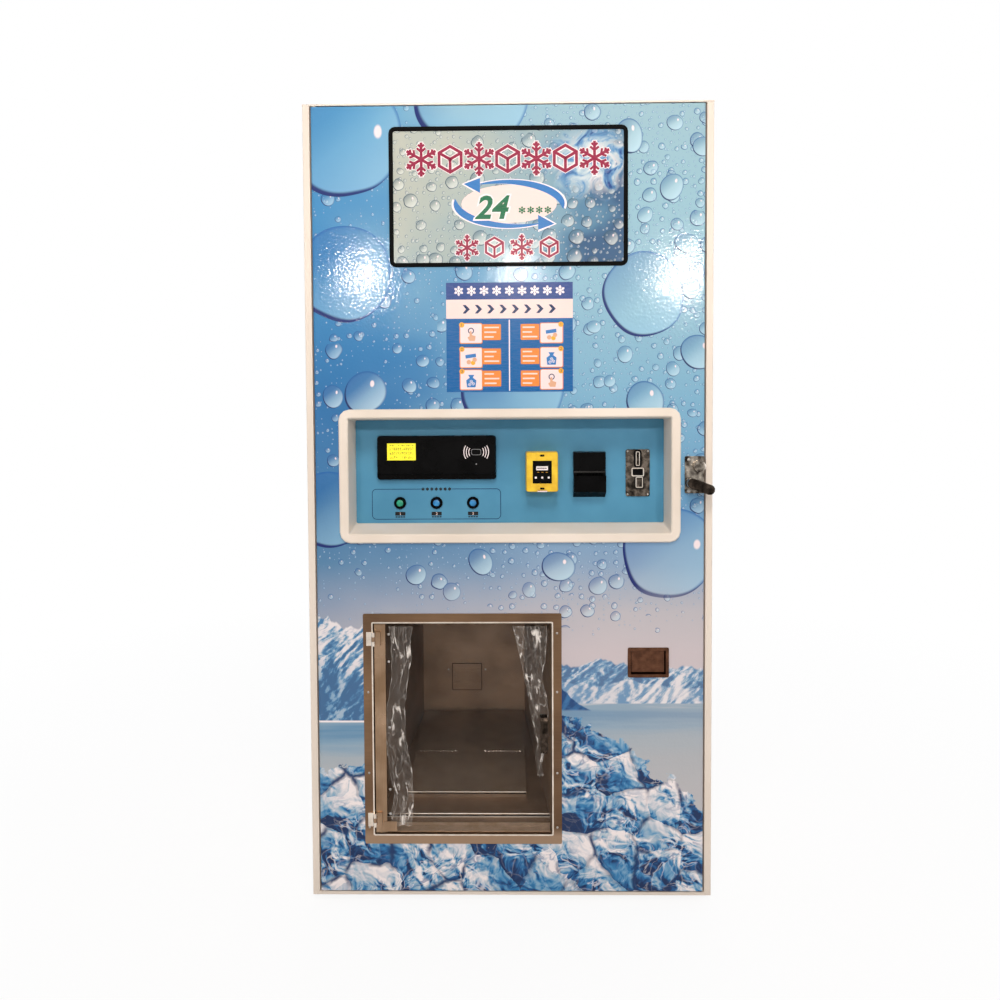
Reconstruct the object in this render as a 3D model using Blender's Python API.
# Bulk ice vending machine: a tall cabinet with a full-height front door that carries the lit
# sign, the control recess and the dispensing bay, and behind it the bin, the ice maker and
# the refrigeration unit. Metres, +Z up, the front faces -Y. The origin is on the floor, under
# the middle of the machine.
from math import atan2, cos, pi, radians, sin

import bmesh
import bpy
from mathutils import Matrix, Vector

# Cabinet
CABINET_WIDTH = 1.050
CABINET_DEPTH = 1.150
CABINET_HEIGHT = 2.060
FOOT_HEIGHT = 0.018
FOOT_RADIUS = 0.026
FOOT_STEM_RADIUS = 0.010
FOOT_PAD_HEIGHT = 0.007
FOOT_INSET = 0.070
SIDE_WALL = 0.018
SIDE_EDGE_RADIUS = 0.003
TOP_SHEET = 0.004
BASE_SHEET = 0.008
BASE_UPSTAND = 0.040
REAR_SHEET = 0.003
REAR_RETURN = 0.020
FOLD_SHEET = 0.002
TOP_FLANGE = 0.030

# Where the fittings and the inner units stand, and how large the main ones are, as shares of
# the cabinet's width and height
ACROSS_SHARE = {
    "display": -0.185714,
    "terminal": 0.082857,
    "bill": 0.204286,
    "coin": 0.328571,
    "cup": 0.342381,
    "bay": -0.119048,
    "bin": 0.685714,
    "maker": 0.628571,
    "grid": 0.514286,
    "compressor": 0.228571,
    "condenser": -0.209524,
    "condenser_block": 0.400000,
    "inlet": 0.380952,
}
UP_SHARE = {
    "rear_split": 0.349515,
    "bezel": 0.537864,
    "cup": 0.300728,
    "bay": 0.215291,
    "bay_frame": 0.296602,
    "bin_base": 0.436893,
    "bin_slope": 0.563107,
    "bin_top": 0.689320,
    "trough": 0.500000,
    "maker": 0.262136,
    "grid": 0.145631,
    "curtain": 0.169903,
    "control_box": 0.728155,
    "inlet": 0.436893,
}
REAR_SPLIT_HEIGHT = CABINET_HEIGHT * UP_SHARE["rear_split"]

# Clearances, and the overrun of every cut
FIT = 0.0003
OVERRUN = 0.010
SLIP = 0.001

# Side louvres
LOUVRE_COUNT = 9
LOUVRE_LENGTH = 0.260
LOUVRE_SLOT = 0.009
LOUVRE_PITCH = 0.030
LOUVRE_FIRST_HEIGHT = 0.180
LOUVRE_CENTRE_DEPTH = 0.900
LOUVRE_DROP = 0.012

# Rear vent cover
VENT_FRAME = 0.045
VENT_BLADE_COUNT = 15
VENT_BLADE = 0.003
VENT_BLADE_RUN = 0.020
VENT_BLADE_DROP = 0.024
VENT_MULLION = 0.030

# Front door
DOOR_GAP = 0.003
DOOR_DEPTH = 0.040
DOOR_EDGE_RADIUS = 0.005
DOOR_REAR_GAP = 0.012
PIVOT_INSET = 0.009
PIVOT_RADIUS = 0.004
PIVOT_COLLAR_RADIUS = 0.0075
PIVOT_LENGTH = 0.010

# Lit sign
SIGN_WIDTH = 0.610
SIGN_HEIGHT = 0.355
SIGN_CENTRE_X = 0.001
SIGN_TOP_DROP = 0.237
SIGN_CENTRE_HEIGHT = CABINET_HEIGHT - SIGN_TOP_DROP
SIGN_RADIUS = 0.016
GASKET_WIDTH = 0.0105
GASKET_PROUD = 0.003
GASKET_ROUND = 0.0012
GASKET_NECK = 0.0045
GASKET_DEPTH = 0.006
SIGN_PANEL_THICKNESS = 0.003
LIGHT_BOX_DEPTH = 0.090
LIGHT_BOX_FLANGE = 0.016
TUBE_RADIUS = 0.008
TUBE_COUNT = 3
TUBE_PITCH = 0.100

# Control recess
BEZEL_SIDE = 0.084
BEZEL_WIDTH = CABINET_WIDTH - 2 * BEZEL_SIDE
BEZEL_HEIGHT = 0.347
BEZEL_CENTRE_X = 0.0005
BEZEL_CENTRE_HEIGHT = CABINET_HEIGHT * UP_SHARE["bezel"]
BEZEL_RADIUS = 0.028
BEZEL_RIM = 0.024
BEZEL_PROUD = 0.008
BEZEL_ROUND = 0.003
BEZEL_WALL = 0.003
RECESS_DEPTH = 0.085
RECESS_CORNER = 0.004
RECESS_DRAFT = 0.002
RECESS_LEDGE_RISE = 0.017
RECESS_TOP_DRAFT = 0.004
CONTROL_PANEL_SHEET = 0.002

# Display and card reader
DISPLAY_WIDTH = 0.320
DISPLAY_HEIGHT = 0.118
DISPLAY_CENTRE_X = CABINET_WIDTH * ACROSS_SHARE["display"]
DISPLAY_RISE = 0.045
DISPLAY_CENTRE_HEIGHT = BEZEL_CENTRE_HEIGHT + DISPLAY_RISE
DISPLAY_PROUD = 0.022
DISPLAY_RADIUS = 0.008
DISPLAY_CHIN = 0.016
DISPLAY_DRAFT = 0.003
WINDOW_WIDTH = 0.077
WINDOW_HEIGHT = 0.046
WINDOW_SIDE = 0.093
WINDOW_X = DISPLAY_CENTRE_X - WINDOW_SIDE
WINDOW_RISE = 0.016
WINDOW_CENTRE_HEIGHT = DISPLAY_CENTRE_HEIGHT + WINDOW_RISE
WINDOW_RECESS = 0.003
WINDOW_THICKNESS = 0.002

# Push buttons
BUTTON_COUNT = 3
BUTTON_SIDE = 0.1005
BUTTON_FIRST_X = DISPLAY_CENTRE_X - BUTTON_SIDE
BUTTON_PITCH = 0.0985
BUTTON_DROP = 0.078
BUTTON_CENTRE_HEIGHT = BEZEL_CENTRE_HEIGHT - BUTTON_DROP
BUTTON_RING_RADIUS = 0.0165
BUTTON_BARREL_RADIUS = 0.014
BUTTON_CAP_RADIUS = 0.0115
BUTTON_RING_PROUD = 0.005
BUTTON_RING_ROUND = 0.0015
BUTTON_BARREL_LENGTH = 0.030
BUTTON_FLOOR = 0.003
BUTTON_CAP_LENGTH = 0.014
BUTTON_CAP_PROUD = 0.002
BUTTON_CAP_DOME = 0.001

# Payment terminal
TERMINAL_WIDTH = 0.083
TERMINAL_HEIGHT = 0.104
TERMINAL_CENTRE_X = CABINET_WIDTH * ACROSS_SHARE["terminal"]
TERMINAL_RISE = 0.0065
TERMINAL_CENTRE_HEIGHT = BEZEL_CENTRE_HEIGHT + TERMINAL_RISE
TERMINAL_PROUD = 0.045
TERMINAL_RADIUS = 0.005
TERMINAL_DRAFT = 0.002
TERMINAL_FACE_ROUND = 0.002
SCREEN_WIDTH = 0.0508
SCREEN_HEIGHT = 0.0606
SCREEN_RECESS = 0.003
SCREEN_THICKNESS = 0.002
NOTCH_WIDTH = 0.026
NOTCH_HEIGHT = 0.006
NOTCH_DEPTH = 0.010

# Bill acceptor
BILL_WIDTH = 0.086
BILL_CENTRE_X = CABINET_WIDTH * ACROSS_SHARE["bill"]
BILL_TOP_RISE = 0.059
BILL_TOP_HEIGHT = BEZEL_CENTRE_HEIGHT + BILL_TOP_RISE
BILL_BOTTOM_DROP = 0.064
BILL_BOTTOM_HEIGHT = BEZEL_CENTRE_HEIGHT - BILL_BOTTOM_DROP
BILL_FACE_DROP = 0.048
BILL_FACE_BOTTOM_HEIGHT = BEZEL_CENTRE_HEIGHT - BILL_FACE_DROP
BILL_SLOT_HEIGHT = BEZEL_CENTRE_HEIGHT
BILL_SLOT_GAP = 0.0062
BILL_SLOT_WIDTH = 0.070
BILL_PROUD = 0.018
BILL_JAW_PROUD = 0.030
BILL_MOUTH_DEPTH = 0.024
BILL_DRAFT = 0.002
BILL_BODY_WIDTH = 0.074
BILL_BODY_HEIGHT = 0.096
BILL_BODY_LENGTH = 0.110

# Coin acceptor
COIN_PLATE_WIDTH = 0.0645
COIN_PLATE_HEIGHT = 0.1265
COIN_PLATE_RADIUS = 0.005
COIN_PLATE_PROUD = 0.003
COIN_CENTRE_X = CABINET_WIDTH * ACROSS_SHARE["coin"]
COIN_RISE = 0.001
COIN_CENTRE_HEIGHT = BEZEL_CENTRE_HEIGHT + COIN_RISE
COIN_BODY_WIDTH = 0.052
COIN_BODY_HEIGHT = 0.112
COIN_BODY_LENGTH = 0.062
COIN_SLOT_WIDTH = 0.006
COIN_SLOT_HEIGHT = 0.034
COIN_SLOT_RISE = 0.038
COIN_SLOT_DEPTH = 0.016
REJECT_WIDTH = 0.027
REJECT_HEIGHT = 0.017
REJECT_RISE = 0.002
REJECT_POCKET = 0.012
REJECT_LENGTH = 0.007
REJECT_PROUD = 0.001
RETURN_SLOT_WIDTH = 0.014
RETURN_SLOT_HEIGHT = 0.024
RETURN_SLOT_DROP = 0.0255
RETURN_SLOT_SIDE = 0.004
RETURN_SLOT_DEPTH = 0.008

# Coin-return cup
CUP_WIDTH = 0.107
CUP_HEIGHT = 0.0785
CUP_CENTRE_X = CABINET_WIDTH * ACROSS_SHARE["cup"]
CUP_CENTRE_HEIGHT = CABINET_HEIGHT * UP_SHARE["cup"]
CUP_RIM = 0.008
CUP_RADIUS = 0.004
CUP_PROUD = 0.0015
CUP_DEPTH = 0.070
CUP_WALL = 0.0015
FLAP_SETBACK = 0.008
FLAP_THICKNESS = 0.0015
FLAP_PIN_RADIUS = 0.002
FLAP_FLOOR_GAP = 0.004

# Lock
LOCK_REACH = 0.042
LOCK_PLATE_WIDTH = 0.050
LOCK_PLATE_HEIGHT = 0.096
LOCK_PLATE_INSET = 0.048
LOCK_PLATE_CENTRE_X = CABINET_WIDTH / 2 - LOCK_PLATE_INSET
LOCK_PLATE_RISE = 0.001
LOCK_PLATE_CENTRE_HEIGHT = BEZEL_CENTRE_HEIGHT + LOCK_PLATE_RISE
LOCK_PLATE_SHEET = 0.003
LOCK_HUB_RADIUS = 0.015
LOCK_HUB_SIDE = 0.011
LOCK_HUB_X = LOCK_PLATE_CENTRE_X + LOCK_HUB_SIDE
LOCK_HUB_RISE = 0.022
LOCK_HUB_HEIGHT = LOCK_PLATE_CENTRE_HEIGHT + LOCK_HUB_RISE
LOCK_HUB_PROUD = 0.020
HANDLE_AXIS_SIDE = 0.0085
HANDLE_AXIS_X = LOCK_PLATE_CENTRE_X + HANDLE_AXIS_SIDE
HANDLE_AXIS_DROP = 0.028
HANDLE_AXIS_HEIGHT = LOCK_PLATE_CENTRE_HEIGHT - HANDLE_AXIS_DROP
HANDLE_SPAN = 0.072
HANDLE_BAR = 0.026
HANDLE_THICKNESS = 0.014
HANDLE_SHAFT_RADIUS = 0.007
HANDLE_TILT = 20.0
LOCK_COLLAR_RADIUS = 0.012
LOCK_COLLAR_PROUD = 0.012
CAM_WIDTH = 0.012
CAM_REACH = 0.017
CAM_THICKNESS = 0.003
CAM_GAP = 0.0045
KEEPER_THICKNESS = 0.002
KEEPER_LIP = 0.012
KEEPER_HEIGHT = 0.060
KEEPER_LEG = 0.030

# Dispensing bay
BAY_FRAME_WIDTH = 0.518
BAY_FRAME_HEIGHT = CABINET_HEIGHT * UP_SHARE["bay_frame"]
BAY_CENTRE_X = CABINET_WIDTH * ACROSS_SHARE["bay"]
BAY_CENTRE_HEIGHT = CABINET_HEIGHT * UP_SHARE["bay"]
BAY_FLANGE = 0.0255
BAY_FRAME_RADIUS = 0.004
BAY_CORNER = 0.003
BAY_PROUD = 0.0015
BAY_RETURN = 0.045
BAY_WALL = 0.002
BAY_DEPTH = 0.620
BAY_REAR_WIDTH = 0.345
BAY_FLOOR_RISE = 0.088
BAY_LINER_FLANGE = 0.014
ROOF_HOLE = 0.160
ROOF_HOLE_DEPTH = 0.450
DAM_DEPTH = 0.080
DAM_WIDTH = 0.004
DAM_HEIGHT = 0.010
TRAY_FRONT_DEPTH = 0.165
TRAY_REAR_GAP = 0.012
TRAY_SIDE_GAP = 0.0035
TRAY_LIFT = 0.018
TRAY_SHEET = 0.0015
TRAY_HOLE_RADIUS = 0.0022
TRAY_HOLE_COUNT = 10
TRAY_HOLE_PITCH = 0.012
TRAY_HOLE_FIRST = 0.046
TRAY_HOLE_DEPTH = 0.205

# Bay door
BAY_DOOR_GAP = 0.003
STILE_WIDTH = 0.029
STILE_SETBACK = 0.002
STILE_SHEET = 0.003
STILE_DEPTH = 0.020
PANE_THICKNESS = 0.005
PANE_TUCK = 0.006
BRACKET_LENGTH = 0.055
BRACKET_HEIGHT = 0.030
HINGE_HEIGHT = 0.036
HINGE_INSET = 0.040
HINGE_BARREL_RADIUS = 0.0045
HINGE_PIN_RADIUS = 0.0020
HINGE_LEAF = 0.0020
HINGE_LEAF_WIDTH = 0.014
PULL_WIDTH = 0.019
PULL_HEIGHT = 0.093
PULL_SECTION = 0.006
PULL_PROUD = 0.032
PULL_SIDE = 0.212
PULL_X = BAY_CENTRE_X + PULL_SIDE
PULL_DROP = 0.009
PULL_CENTRE_HEIGHT = BAY_CENTRE_HEIGHT - PULL_DROP
FILM_THICKNESS = 0.003
FILM_LEFT_WIDTH = 0.066
FILM_RIGHT_WIDTH = 0.098
FILM_DROP_SHARE = {"left": 0.837971, "right": 0.654664}
FILM_TOP_GAP = 0.006

# Ice bin and its shelf
BIN_WIDTH = CABINET_WIDTH * ACROSS_SHARE["bin"]
BIN_FRONT_DEPTH = 0.360
BIN_REAR_GAP = 0.090
BIN_REAR_DEPTH = CABINET_DEPTH - BIN_REAR_GAP
BIN_BASE_HEIGHT = CABINET_HEIGHT * UP_SHARE["bin_base"]
BIN_TOP_HEIGHT = CABINET_HEIGHT * UP_SHARE["bin_top"]
BIN_WALL = 0.035
BIN_SLOPE_TOP_HEIGHT = CABINET_HEIGHT * UP_SHARE["bin_slope"]
TROUGH_RADIUS = 0.080
TROUGH_AXIS_HEIGHT = CABINET_HEIGHT * UP_SHARE["trough"]
TROUGH_STEPS = 8
SHELF_DEPTH = 0.025
SHELF_FRONT_DEPTH = 0.330
SHELF_REAR_DEPTH = 1.120
OUTLET_WIDTH = 0.130
OUTLET_FRONT_DEPTH = 0.385

# Auger
AUGER_RADIUS = 0.072
AUGER_SHAFT_RADIUS = 0.015
AUGER_TURNS = 5
AUGER_END_GAP = 0.015
AUGER_RUN = BIN_REAR_DEPTH - BIN_FRONT_DEPTH - 2 * BIN_WALL - 2 * AUGER_END_GAP
AUGER_STEPS = 12
AUGER_FLIGHT = 0.004
AUGER_BEARING = 0.015
AUGER_STUB = 0.020
MOTOR_FLANGE = 0.110
MOTOR_FLANGE_THICKNESS = 0.012
GEARBOX_RADIUS = 0.045
GEARBOX_LENGTH = 0.030
MOTOR_RADIUS = 0.034
MOTOR_LENGTH = 0.036

# Chute
CHUTE_TOP = 0.142
CHUTE_BOTTOM = 0.134
CHUTE_WALL = 0.002
CHUTE_FLANGE = 0.018
CHUTE_ROOF_GAP = 0.010
GATE_THICKNESS = 0.002
GATE_PIN_RADIUS = 0.003
GATE_DROP = 0.012
GATE_END_GAP = 0.004

# Ice maker
MAKER_WIDTH = CABINET_WIDTH * ACROSS_SHARE["maker"]
MAKER_DEPTH = 0.560
MAKER_HEIGHT = CABINET_HEIGHT * UP_SHARE["maker"]
MAKER_WALL = 0.018
MAKER_HEAD = 0.140
MAKER_BAY_DEPTH = 0.220
MAKER_GRILLE_SLOTS = 6
MAKER_GRILLE_PITCH = 0.016
MAKER_GRILLE_SLOT = 0.006
MAKER_GRILLE_LENGTH = 0.300
MAKER_GRILLE_DEPTH = 0.006
GRID_WIDTH = CABINET_WIDTH * ACROSS_SHARE["grid"]
GRID_HEIGHT = CABINET_HEIGHT * UP_SHARE["grid"]
GRID_DEPTH = 0.028
GRID_BACK = 0.005
GRID_WALL = 0.004
GRID_COLUMNS = 9
GRID_ROWS = 5
GRID_LIFT = 0.060
CURTAIN_GAP = 0.030
CURTAIN_THICKNESS = 0.003
CURTAIN_ROD_RADIUS = 0.005
CURTAIN_SIDE_GAP = 0.012
CURTAIN_DROP = CABINET_HEIGHT * UP_SHARE["curtain"]
CURTAIN_TOP_GAP = 0.008

# Refrigeration unit
COMPRESSOR_X = CABINET_WIDTH * ACROSS_SHARE["compressor"]
COMPRESSOR_CENTRE_DEPTH = 0.850
COMPRESSOR_RADIUS = 0.105
COMPRESSOR_HEIGHT = 0.260
COMPRESSOR_PLATE = 0.005
COMPRESSOR_PLATE_SPAN = 0.250
COMPRESSOR_SEAM = 0.005
COMPRESSOR_SEAM_HEIGHT = 0.008
COMPRESSOR_FOOT_SHARE = 0.8
CONDENSER_WIDTH = CABINET_WIDTH * ACROSS_SHARE["condenser_block"]
CONDENSER_HEIGHT = 0.420
CONDENSER_DEPTH = 0.052
CONDENSER_X = CABINET_WIDTH * ACROSS_SHARE["condenser"]
CONDENSER_REAR_GAP = 0.050
CONDENSER_FINS = 24
CONDENSER_FIN = 0.004
CONDENSER_CORE = 0.020
SHROUD_GAP = 0.006
SHROUD_SHEET = 0.002
SHROUD_RIM = 0.030
FAN_RADIUS = 0.150
FAN_TIP_GAP = 0.008
FAN_HUB_RADIUS = 0.032
FAN_HUB_LENGTH = 0.026
FAN_BLADES = 5
FAN_BLADE_THICKNESS = 0.003
FAN_BLADE_ROOT_ANGLE = 38.0
FAN_BLADE_TIP_ANGLE = 22.0
FAN_BLADE_ARC = 46.0
FAN_BLADE_STEPS = 4
FAN_ROOT_SHARE = 0.9
FAN_ROOT_ARC_SHARE = 0.55
FAN_SHAFT_RADIUS = 0.004
FAN_MOTOR_RADIUS = 0.040
FAN_MOTOR_LENGTH = 0.055
FAN_ARM_WIDTH = 0.014
FAN_ARM_COUNT = 3

# Control box and power inlet
CONTROL_BOX_DEPTH = 0.140
CONTROL_BOX_RUN = 0.260
CONTROL_BOX_HEIGHT = 0.380
CONTROL_BOX_FRONT_DEPTH = 0.420
CONTROL_BOX_BASE_HEIGHT = CABINET_HEIGHT * UP_SHARE["control_box"]
CONTROL_BOX_LID = 0.012
CONTROL_BOX_SEAM = 0.003
INLET_REACH = 0.022
INLET_X = CABINET_WIDTH * ACROSS_SHARE["inlet"]
INLET_HEIGHT = CABINET_HEIGHT * UP_SHARE["inlet"]
INLET_FLANGE_RADIUS = 0.019
INLET_FLANGE = 0.004
INLET_NUT_RADIUS = 0.015
INLET_BORE_RADIUS = 0.006

# Round resolution
CORNER_STEPS = 3
SMALL_STEPS = 12
ROUND_STEPS = 20
WIDE_STEPS = 32

# The machine is centred on its whole depth, from the lock handle to the power inlet.
FRONT_Y = -(CABINET_DEPTH + INLET_REACH - LOCK_REACH) / 2
INNER_HALF = CABINET_WIDTH / 2 - SIDE_WALL


def at_depth(depth):
    # Y of a point that lies this far behind the printed front.
    return FRONT_Y + depth


def at_height(height):
    # Z of a point that lies this far above the cabinet's underside.
    return FOOT_HEIGHT + height


def clear_scene():
    for old in list(bpy.data.objects):
        bpy.data.objects.remove(old, do_unlink=True)


def make_material(name, colour, roughness, metallic=0.0, alpha=1.0):
    material = bpy.data.materials.new(name)
    material.use_nodes = True
    shader = material.node_tree.nodes["Principled BSDF"]
    shader.inputs["Base Color"].default_value = (*colour, 1.0)
    shader.inputs["Roughness"].default_value = roughness
    shader.inputs["Metallic"].default_value = metallic
    shader.inputs["Alpha"].default_value = alpha
    material.diffuse_color = (*colour, alpha)
    return material


def make_materials():
    return {
        "white": make_material("white_enamel", (0.88, 0.80, 0.73), 0.35),
        "print": make_material("printed_film", (0.16, 0.44, 0.70), 0.25),
        "bezel": make_material("cream_abs", (0.90, 0.82, 0.75), 0.40),
        "blue": make_material("blue_film", (0.12, 0.36, 0.60), 0.35),
        "black": make_material("black_abs", (0.012, 0.012, 0.012), 0.35),
        "rubber": make_material("black_rubber", (0.015, 0.015, 0.015), 0.75),
        "acrylic": make_material("opal_acrylic", (0.62, 0.72, 0.74), 0.20),
        "clear": make_material("clear_acrylic", (0.90, 0.93, 0.95), 0.05, 0.0, 0.25),
        "film": make_material("clear_film", (0.90, 0.90, 0.90), 0.15, 0.0, 0.40),
        "lcd": make_material("yellow_display", (0.95, 0.85, 0.04), 0.30),
        "green": make_material("green_button", (0.02, 0.45, 0.22), 0.30),
        "button": make_material("blue_button", (0.03, 0.30, 0.60), 0.30),
        "yellow": make_material("yellow_abs", (0.85, 0.55, 0.03), 0.40),
        "steel": make_material("brushed_stainless", (0.42, 0.36, 0.30), 0.35, 1.0),
        "zinc": make_material("zinc_plate", (0.55, 0.56, 0.57), 0.40, 1.0),
        "copper": make_material("copper", (0.80, 0.45, 0.28), 0.35, 1.0),
        "grey": make_material("grey_abs", (0.45, 0.46, 0.47), 0.50),
    }


def to_object(bm):
    bmesh.ops.recalc_face_normals(bm, faces=bm.faces)
    mesh = bpy.data.meshes.new("shape")
    bm.to_mesh(mesh)
    bm.free()
    obj = bpy.data.objects.new("shape", mesh)
    bpy.context.collection.objects.link(obj)
    return obj


def loft(loops, ring=False):
    # Skins a list of closed loops of equally many points. A ring joins its last loop to its
    # first; otherwise both ends are capped.
    bm = bmesh.new()
    rows = [[bm.verts.new(point) for point in loop] for loop in loops]
    pairs = list(zip(rows, rows[1:]))
    if ring:
        pairs.append((rows[-1], rows[0]))
    else:
        bm.faces.new(rows[0])
        bm.faces.new(rows[-1])
    for near, far in pairs:
        count = len(near)
        for i in range(count):
            j = (i + 1) % count
            bm.faces.new((near[i], near[j], far[j], far[i]))
    return to_object(bm)


def prism(outline, axis, start, end):
    # Extrudes a flat outline along an axis: (y, z) along x, (x, z) along y, (x, y) along z.
    place = {
        "x": lambda p, along: (along, p[0], p[1]),
        "y": lambda p, along: (p[0], along, p[1]),
        "z": lambda p, along: (p[0], p[1], along),
    }[axis]
    return loft([[place(p, along) for p in outline] for along in (start, end)])


def block(low, high):
    outline = [(low[0], low[1]), (high[0], low[1]), (high[0], high[1]), (low[0], high[1])]
    return prism(outline, "z", low[2], high[2])


def turned(profile, axis, centre, steps, ring=False):
    # Turns (radius, along) points round an axis through centre. Where the radius is zero the
    # points meet in one.
    place = {
        "x": lambda a, b, along: (along, a, b),
        "y": lambda a, b, along: (a, along, b),
        "z": lambda a, b, along: (a, b, along),
    }[axis]
    bm = bmesh.new()
    rows = []
    for radius, along in profile:
        angles = [0.0] if radius == 0 else [2 * pi * i / steps for i in range(steps)]
        spots = [Vector(place(radius * cos(t), radius * sin(t), along)) for t in angles]
        rows.append([bm.verts.new(Vector(centre) + spot) for spot in spots])
    pairs = list(zip(rows, rows[1:]))
    if ring:
        pairs.append((rows[-1], rows[0]))
    for near, far in pairs:
        for i in range(steps):
            j = (i + 1) % steps
            corners = [near[i % len(near)], near[j % len(near)], far[j % len(far)], far[i % len(far)]]
            corners = list(dict.fromkeys(corners))
            if len(corners) > 2:
                bm.faces.new(corners)
    for end in (rows[0], rows[-1]):
        if not ring and len(end) > 1:
            bm.faces.new(end)
    return to_object(bm)


def rounded_rect(centre_x, centre_z, width, height, radius):
    points = []
    corners = ((1, 1, 0.0), (-1, 1, pi / 2), (-1, -1, pi), (1, -1, 1.5 * pi))
    for side_x, side_z, first in corners:
        hub_x = centre_x + side_x * (width / 2 - radius)
        hub_z = centre_z + side_z * (height / 2 - radius)
        for i in range(CORNER_STEPS + 1):
            angle = first + pi / 2 * i / CORNER_STEPS
            points.append((hub_x + radius * cos(angle), hub_z + radius * sin(angle)))
    return points


def upright_loop(centre_x, centre_z, width, height, radius, y):
    return [(x, y, z) for x, z in rounded_rect(centre_x, centre_z, width, height, radius)]


def combine(target, tools, operation):
    for tool in tools:
        modifier = target.modifiers.new(operation, "BOOLEAN")
        modifier.operation = operation
        modifier.object = tool
        modifier.solver = "EXACT"
    bpy.context.view_layer.update()
    graph = bpy.context.evaluated_depsgraph_get()
    mesh = bpy.data.meshes.new_from_object(target.evaluated_get(graph))
    target.modifiers.clear()
    target.data = mesh
    for tool in tools:
        bpy.data.objects.remove(tool, do_unlink=True)
    return target


def cut(target, *tools):
    return combine(target, tools, "DIFFERENCE")


def join(target, *tools):
    return combine(target, tools, "UNION")


def make_body(name, axis_point):
    # An empty on a joint's axis, which carries the pieces that move with it.
    body = bpy.data.objects.new(name, None)
    bpy.context.collection.objects.link(body)
    body.location = axis_point
    return body


def finish(obj, name, material, body=None, smooth=False):
    # Names a piece, gives it its material and hangs it on its body.
    obj.name = name
    obj.data.name = name
    obj.data.materials.clear()
    obj.data.materials.append(material)
    if smooth:
        obj.data.shade_smooth()
        obj.data.set_sharp_from_angle(angle=radians(35))
    if body:
        offset = body.matrix_world.translation if body.parent is None else Vector(body["spot"])
        obj.data.transform(Matrix.Translation(-offset))
        obj.parent = body
    return obj


def make_bodies():
    spots = {
        "door_body": (pivot_x(), at_depth(PIVOT_INSET), at_height(CABINET_HEIGHT / 2)),
        "bay_door_body": (hinge_x(), hinge_y(), at_height(BAY_CENTRE_HEIGHT)),
        "flap_body": (CUP_CENTRE_X, flap_y(), flap_z()),
        "lock_body": (HANDLE_AXIS_X, at_depth(0), at_height(HANDLE_AXIS_HEIGHT)),
        "reject_body": (COIN_CENTRE_X, at_depth(RECESS_DEPTH), reject_z()),
        "auger_body": (BAY_CENTRE_X, at_depth(BIN_REAR_DEPTH), at_height(TROUGH_AXIS_HEIGHT)),
        "gate_body": (BAY_CENTRE_X, gate_y(), gate_z()),
        "curtain_body": (BAY_CENTRE_X, curtain_y(), curtain_z()),
        "fan_body": (CONDENSER_X, fan_y(), fan_z()),
    }
    for i in range(BUTTON_COUNT):
        spots[f"button_body_{i + 1}"] = (button_x(i), at_depth(RECESS_DEPTH), button_z())
    bodies = {name: make_body(name, spot) for name, spot in spots.items()}
    on_door = ["bay_door_body", "flap_body", "lock_body", "reject_body"]
    on_door += [f"button_body_{i + 1}" for i in range(BUTTON_COUNT)]
    for name, spot in spots.items():
        bodies[name]["spot"] = spot
    for name in on_door:
        bodies[name].parent = bodies["door_body"]
        bodies[name].location = Vector(spots[name]) - Vector(spots["door_body"])
    bpy.context.view_layer.update()
    return bodies


# Places that several pieces share

def pivot_x():
    return -INNER_HALF + DOOR_GAP + PIVOT_INSET


def door_left():
    return -INNER_HALF + DOOR_GAP


def door_bottom():
    return at_height(BASE_SHEET + DOOR_GAP)


def door_top():
    return at_height(CABINET_HEIGHT - TOP_SHEET - DOOR_GAP)


def bay_inner_width():
    return BAY_FRAME_WIDTH - 2 * BAY_FLANGE


def bay_inner_height():
    return BAY_FRAME_HEIGHT - 2 * BAY_FLANGE


def bay_left():
    return BAY_CENTRE_X - bay_inner_width() / 2


def bay_floor():
    return at_height(BAY_CENTRE_HEIGHT) - bay_inner_height() / 2


def liner_gap():
    return BAY_WALL + FIT


def liner_slope():
    return atan2(BAY_FLOOR_RISE, BAY_DEPTH - BAY_WALL - BAY_RETURN)


def hinge_x():
    return bay_left() + BAY_DOOR_GAP / 2


def hinge_y():
    return at_depth(0) - BAY_PROUD - FIT - HINGE_BARREL_RADIUS


def hinge_centres():
    low = bay_floor() + HINGE_INSET
    high = bay_floor() + bay_inner_height() - HINGE_INSET
    return {"upper": high, "lower": low}


def flap_y():
    return at_depth(FLAP_SETBACK)


def cup_opening():
    return CUP_WIDTH - 2 * CUP_RIM, CUP_HEIGHT - 2 * CUP_RIM


def flap_z():
    return at_height(CUP_CENTRE_HEIGHT) + cup_opening()[1] / 2 - FLAP_PIN_RADIUS - FIT


def reject_z():
    return at_height(COIN_CENTRE_HEIGHT + REJECT_RISE)


def button_x(index):
    return BUTTON_FIRST_X + index * BUTTON_PITCH


def button_z():
    return at_height(BUTTON_CENTRE_HEIGHT)


def chute_centre_y():
    return at_depth(OUTLET_FRONT_DEPTH + OUTLET_WIDTH / 2)


def shelf_underside():
    return at_height(BIN_BASE_HEIGHT) - FIT - SHELF_DEPTH


def gate_y():
    return chute_centre_y() + CHUTE_BOTTOM / 2 - GATE_PIN_RADIUS - GATE_END_GAP


def gate_z():
    return shelf_underside() - GATE_DROP


def maker_front():
    return at_depth(BIN_REAR_DEPTH - MAKER_DEPTH)


def maker_base():
    return at_height(BIN_TOP_HEIGHT) + FIT


def grid_front():
    return maker_front() + MAKER_BAY_DEPTH - FIT - GRID_DEPTH


def curtain_y():
    return grid_front() - CURTAIN_GAP


def curtain_z():
    return maker_base() + MAKER_HEIGHT - MAKER_HEAD - CURTAIN_ROD_RADIUS - CURTAIN_TOP_GAP


def condenser_rear():
    return at_depth(CABINET_DEPTH - CONDENSER_REAR_GAP)


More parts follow.
